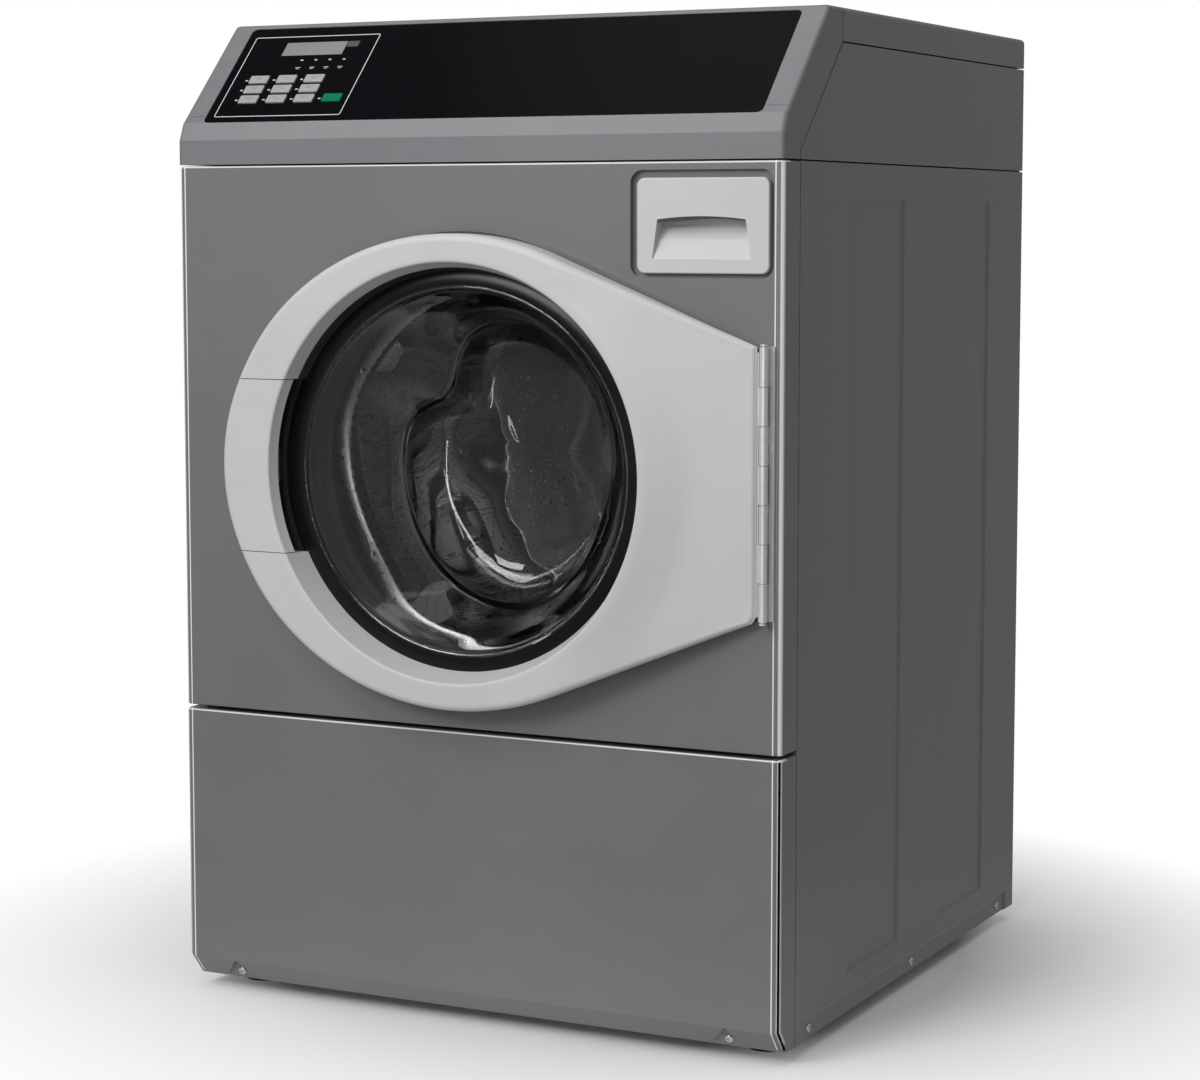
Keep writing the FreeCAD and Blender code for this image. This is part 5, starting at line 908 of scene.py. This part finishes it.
legendSettings = dict(
    lineWidth=0.0009, thickness=0.00012, sunk=0.00005, frame=(-0.306, -0.153, 0.0195, 0.1390), frameRound=0.0025,
    frameBase=0.011, statusBelow=0.0285, statusStart=-0.234, statusStep=0.0171, statusCount=4,
    statusBars=((0.0, 0.0030), (-0.0020, 0.0021)), barRound=0.0002, statusHalf=0.0003, glyphHalf=0.0004)
glyphBars = (((-0.005, 0.001, 0.0022), (0.0015, 0.005, 0.0022), (-0.003, 0.003, 0.0)),
             ((-0.004, 0.004, 0.0018), (-0.002, 0.002, -0.0004)),
             ((-0.005, 0.0, 0.0018), (-0.001, 0.005, -0.0002)))
whiteInk = surfaceMaterial("ink_white", dict(colour=(0.62, 0.62, 0.62), colour2=(0.72, 0.72, 0.72), rough=(0.4, 0.5),
                           grainScale=900.0, bump=0.1))
greyInk = surfaceMaterial("ink_grey", dict(colour=(0.20, 0.20, 0.20), colour2=(0.26, 0.26, 0.26), rough=(0.4, 0.5),
                          grainScale=900.0, bump=0.1))


def roundedLoop(x0, x1, s0, s1, radius, steps=4):
    loop = []
    for cx, cs, start in ((x1 - radius, s1 - radius, 0), (x0 + radius, s1 - radius, 90),
                          (x0 + radius, s0 + radius, 180), (x1 - radius, s0 + radius, 270)):
        loop += arcPoints((cx, cs), radius, start, start + 90, steps)
    return loop


def plateFaces(loop, low, high, verts, faces):
    # adds a thin plate with that outline, standing on the control face
    count, base = len(loop), len(verts)
    for out in (low, high):
        verts += [onSlope(x, s, out) for x, s in loop]
    faces.append(tuple(base + count + i for i in range(count)))
    for i in range(count):
        k = (i + 1) % count
        faces.append((base + i, base + k, base + count + k, base + count + i))


def frameFaces(outerLoop, innerLoop, low, high, verts, faces):
    count, base = len(outerLoop), len(verts)
    for loop, out in ((outerLoop, low), (outerLoop, high), (innerLoop, high), (innerLoop, low)):
        verts += [onSlope(x, s, out) for x, s in loop]
    for ring in range(3):
        for i in range(count):
            k = (i + 1) % count
            a = base + ring * count
            faces.append((a + i, a + k, a + count + k, a + count + i))


def makeLegends(s):
    overlayLow = min(v.co.dot(slopeUp) for v in cadNodes["control_overlay"].data.vertices)
    x0, x1, up0, up1 = s["frame"]
    lift = overlayLow - s["frameBase"]
    verts, faces = [], []
    w = s["lineWidth"]
    frameFaces(roundedLoop(x0, x1, lift + up0, lift + up1, s["frameRound"]),
               roundedLoop(x0 + w, x1 - w, lift + up0 + w, lift + up1 - w, s["frameRound"] - w),
               -s["sunk"], s["thickness"], verts, faces)
    finishMesh("legend_frame", verts, faces, [whiteInk], "cabinet")
    verts, faces = [], []
    displayLow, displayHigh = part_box("display_window")
    statusUp = ((displayLow + displayHigh) / 2).dot(slopeUp) - s["statusBelow"]
    for i in range(s["statusCount"]):
        x = s["statusStart"] + i * s["statusStep"]
        for dy, half in s["statusBars"]:
            loop = roundedLoop(x - half, x + half, statusUp + dy - s["statusHalf"], statusUp + dy + s["statusHalf"],
                               s["barRound"], 2)
            plateFaces(loop, -s["sunk"], s["thickness"], verts, faces)
    finishMesh("legend_ticks", verts, faces, [whiteInk], "cabinet")
    for i in range(1, 10):
        makeKeyGlyph("key_%d" % i, i, s)
    print("legends made")


def makeKeyGlyph(name, number, s):
    # generic printed bars on a key
    x, up = keyCentre(name)
    keyTop = max(v.co.dot(slopeOut) for v in cadNodes[name].data.vertices) - overlayLift
    verts, faces = [], []
    for a, b, du in glyphBars[number % 3]:
        loop = roundedLoop(x + a, x + b, up + du - s["glyphHalf"], up + du + s["glyphHalf"], s["barRound"], 2)
        plateFaces(loop, keyTop - s["sunk"], keyTop + s["thickness"], verts, faces)
    finishMesh("glyph_" + name, verts, faces, [greyInk], name)


makeLegends(legendSettings)


# ---- floor, light and camera

stageSettings = dict(floorColour=(0.90, 0.90, 0.90), rings=12, turns=72, reach=4.2, fadeStart=0.38, fadeEnd=0.84)


def makeFloor(s):
    # a pale round floor that fades out into the white room
    verts, faces = [], []
    rings, turns = s["rings"], s["turns"]
    for i in range(1, rings + 1):
        radius = s["reach"] * i / rings
        verts += [(radius * math.cos(2 * math.pi * k / turns), radius * math.sin(2 * math.pi * k / turns), 0.0)
                  for k in range(turns)]
    faces.append(tuple(range(turns)))
    for i in range(rings - 1):
        for k in range(turns):
            m = (k + 1) % turns
            faces.append((i * turns + k, (i + 1) * turns + k, (i + 1) * turns + m, i * turns + m))
    mesh = bpy.data.meshes.new("stage_floor")
    mesh.from_pydata(verts, [], faces)
    material = surfaceMaterial("stage_pale", dict(colour=s["floorColour"], colour2=(0.92, 0.92, 0.92),
                               rough=(0.8, 0.9), grainScale=300.0, blotchScale=0.8, bump=0.03))
    tree = material.node_tree
    x, y = placeParts(tree)[:2]
    squared = mathNode(tree, "ADD", mathNode(tree, "MULTIPLY", x, x), mathNode(tree, "MULTIPLY", y, y))
    away = mathNode(tree, "SQRT", squared)
    tree.links.new(rangeNode(tree, away, s["fadeStart"], s["fadeEnd"], 1.0, 0.0),
                   tree.nodes["Principled BSDF"].inputs["Alpha"])
    mesh.materials.append(material)
    floor = bpy.data.objects.new("stage_floor", mesh)
    bpy.context.scene.collection.objects.link(floor)


def areaLight(name, place, target, size, power):
    data = bpy.data.lights.new(name, "AREA")
    data.shape = "RECTANGLE"
    data.size, data.size_y = size
    data.energy = power
    light = bpy.data.objects.new(name, data)
    light.location = place
    light.rotation_euler = (Vector(target) - Vector(place)).to_track_quat("-Z", "Y").to_euler()
    bpy.context.scene.collection.objects.link(light)


def makeWorld(fill):
    # white where the camera sees it, dimmer where it lights the machine
    world = bpy.data.worlds.new("studioWorld")
    world.use_nodes = True
    tree = world.node_tree
    background = tree.nodes["Background"]
    background.inputs["Color"].default_value = (1.0, 1.0, 1.0, 1.0)
    path = tree.nodes.new("ShaderNodeLightPath")
    tree.links.new(rangeNode(tree, path.outputs["Is Camera Ray"], 0.0, 1.0, fill, 1.0), background.inputs["Strength"])
    bpy.context.scene.world = world


lightSettings = dict(                                           # place, target, size, power
    keyLight=((-1.1, -3.5, 2.2), (0, 0, 0.5), (1.6, 1.2), 62),
    archLight=((-0.7, -2.3, 3.0), (0, -0.3, 0.5), (3.4, 0.7), 30),
    topLight=((0.2, -0.2, 3.4), (0, 0, 0.6), (2.4, 2.4), 20),
    frontStrip=((0.75, -3.4, 1.0), (0, -0.3, 0.6), (0.2, 2.0), 14))

makeFloor(stageSettings)
makeWorld(fill=0.27)
for lightName, light in lightSettings.items():
    areaLight(lightName, *light)

cameraSettings = dict(place=(1.3901, -2.4668, 0.7958), yaw=26.707, pitch=5.58, lens=85.58, shiftY=-0.03)


def makeCamera(c):
    data = bpy.data.cameras.new("mainCamera")
    data.lens = c["lens"]
    data.sensor_width = 36.0
    data.shift_y = c["shiftY"]
    camera = bpy.data.objects.new("mainCamera", data)
    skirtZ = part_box("lower_panel")[0].z
    camera.location = (c["place"][0], frontY + c["place"][1], skirtZ + c["place"][2])
    camera.rotation_euler = (math.radians(90 - c["pitch"]), 0, math.radians(c["yaw"]))
    bpy.context.scene.collection.objects.link(camera)
    bpy.context.scene.camera = camera


makeCamera(cameraSettings)
bpy.context.scene.view_settings.view_transform = "Standard"
print("light and camera made")
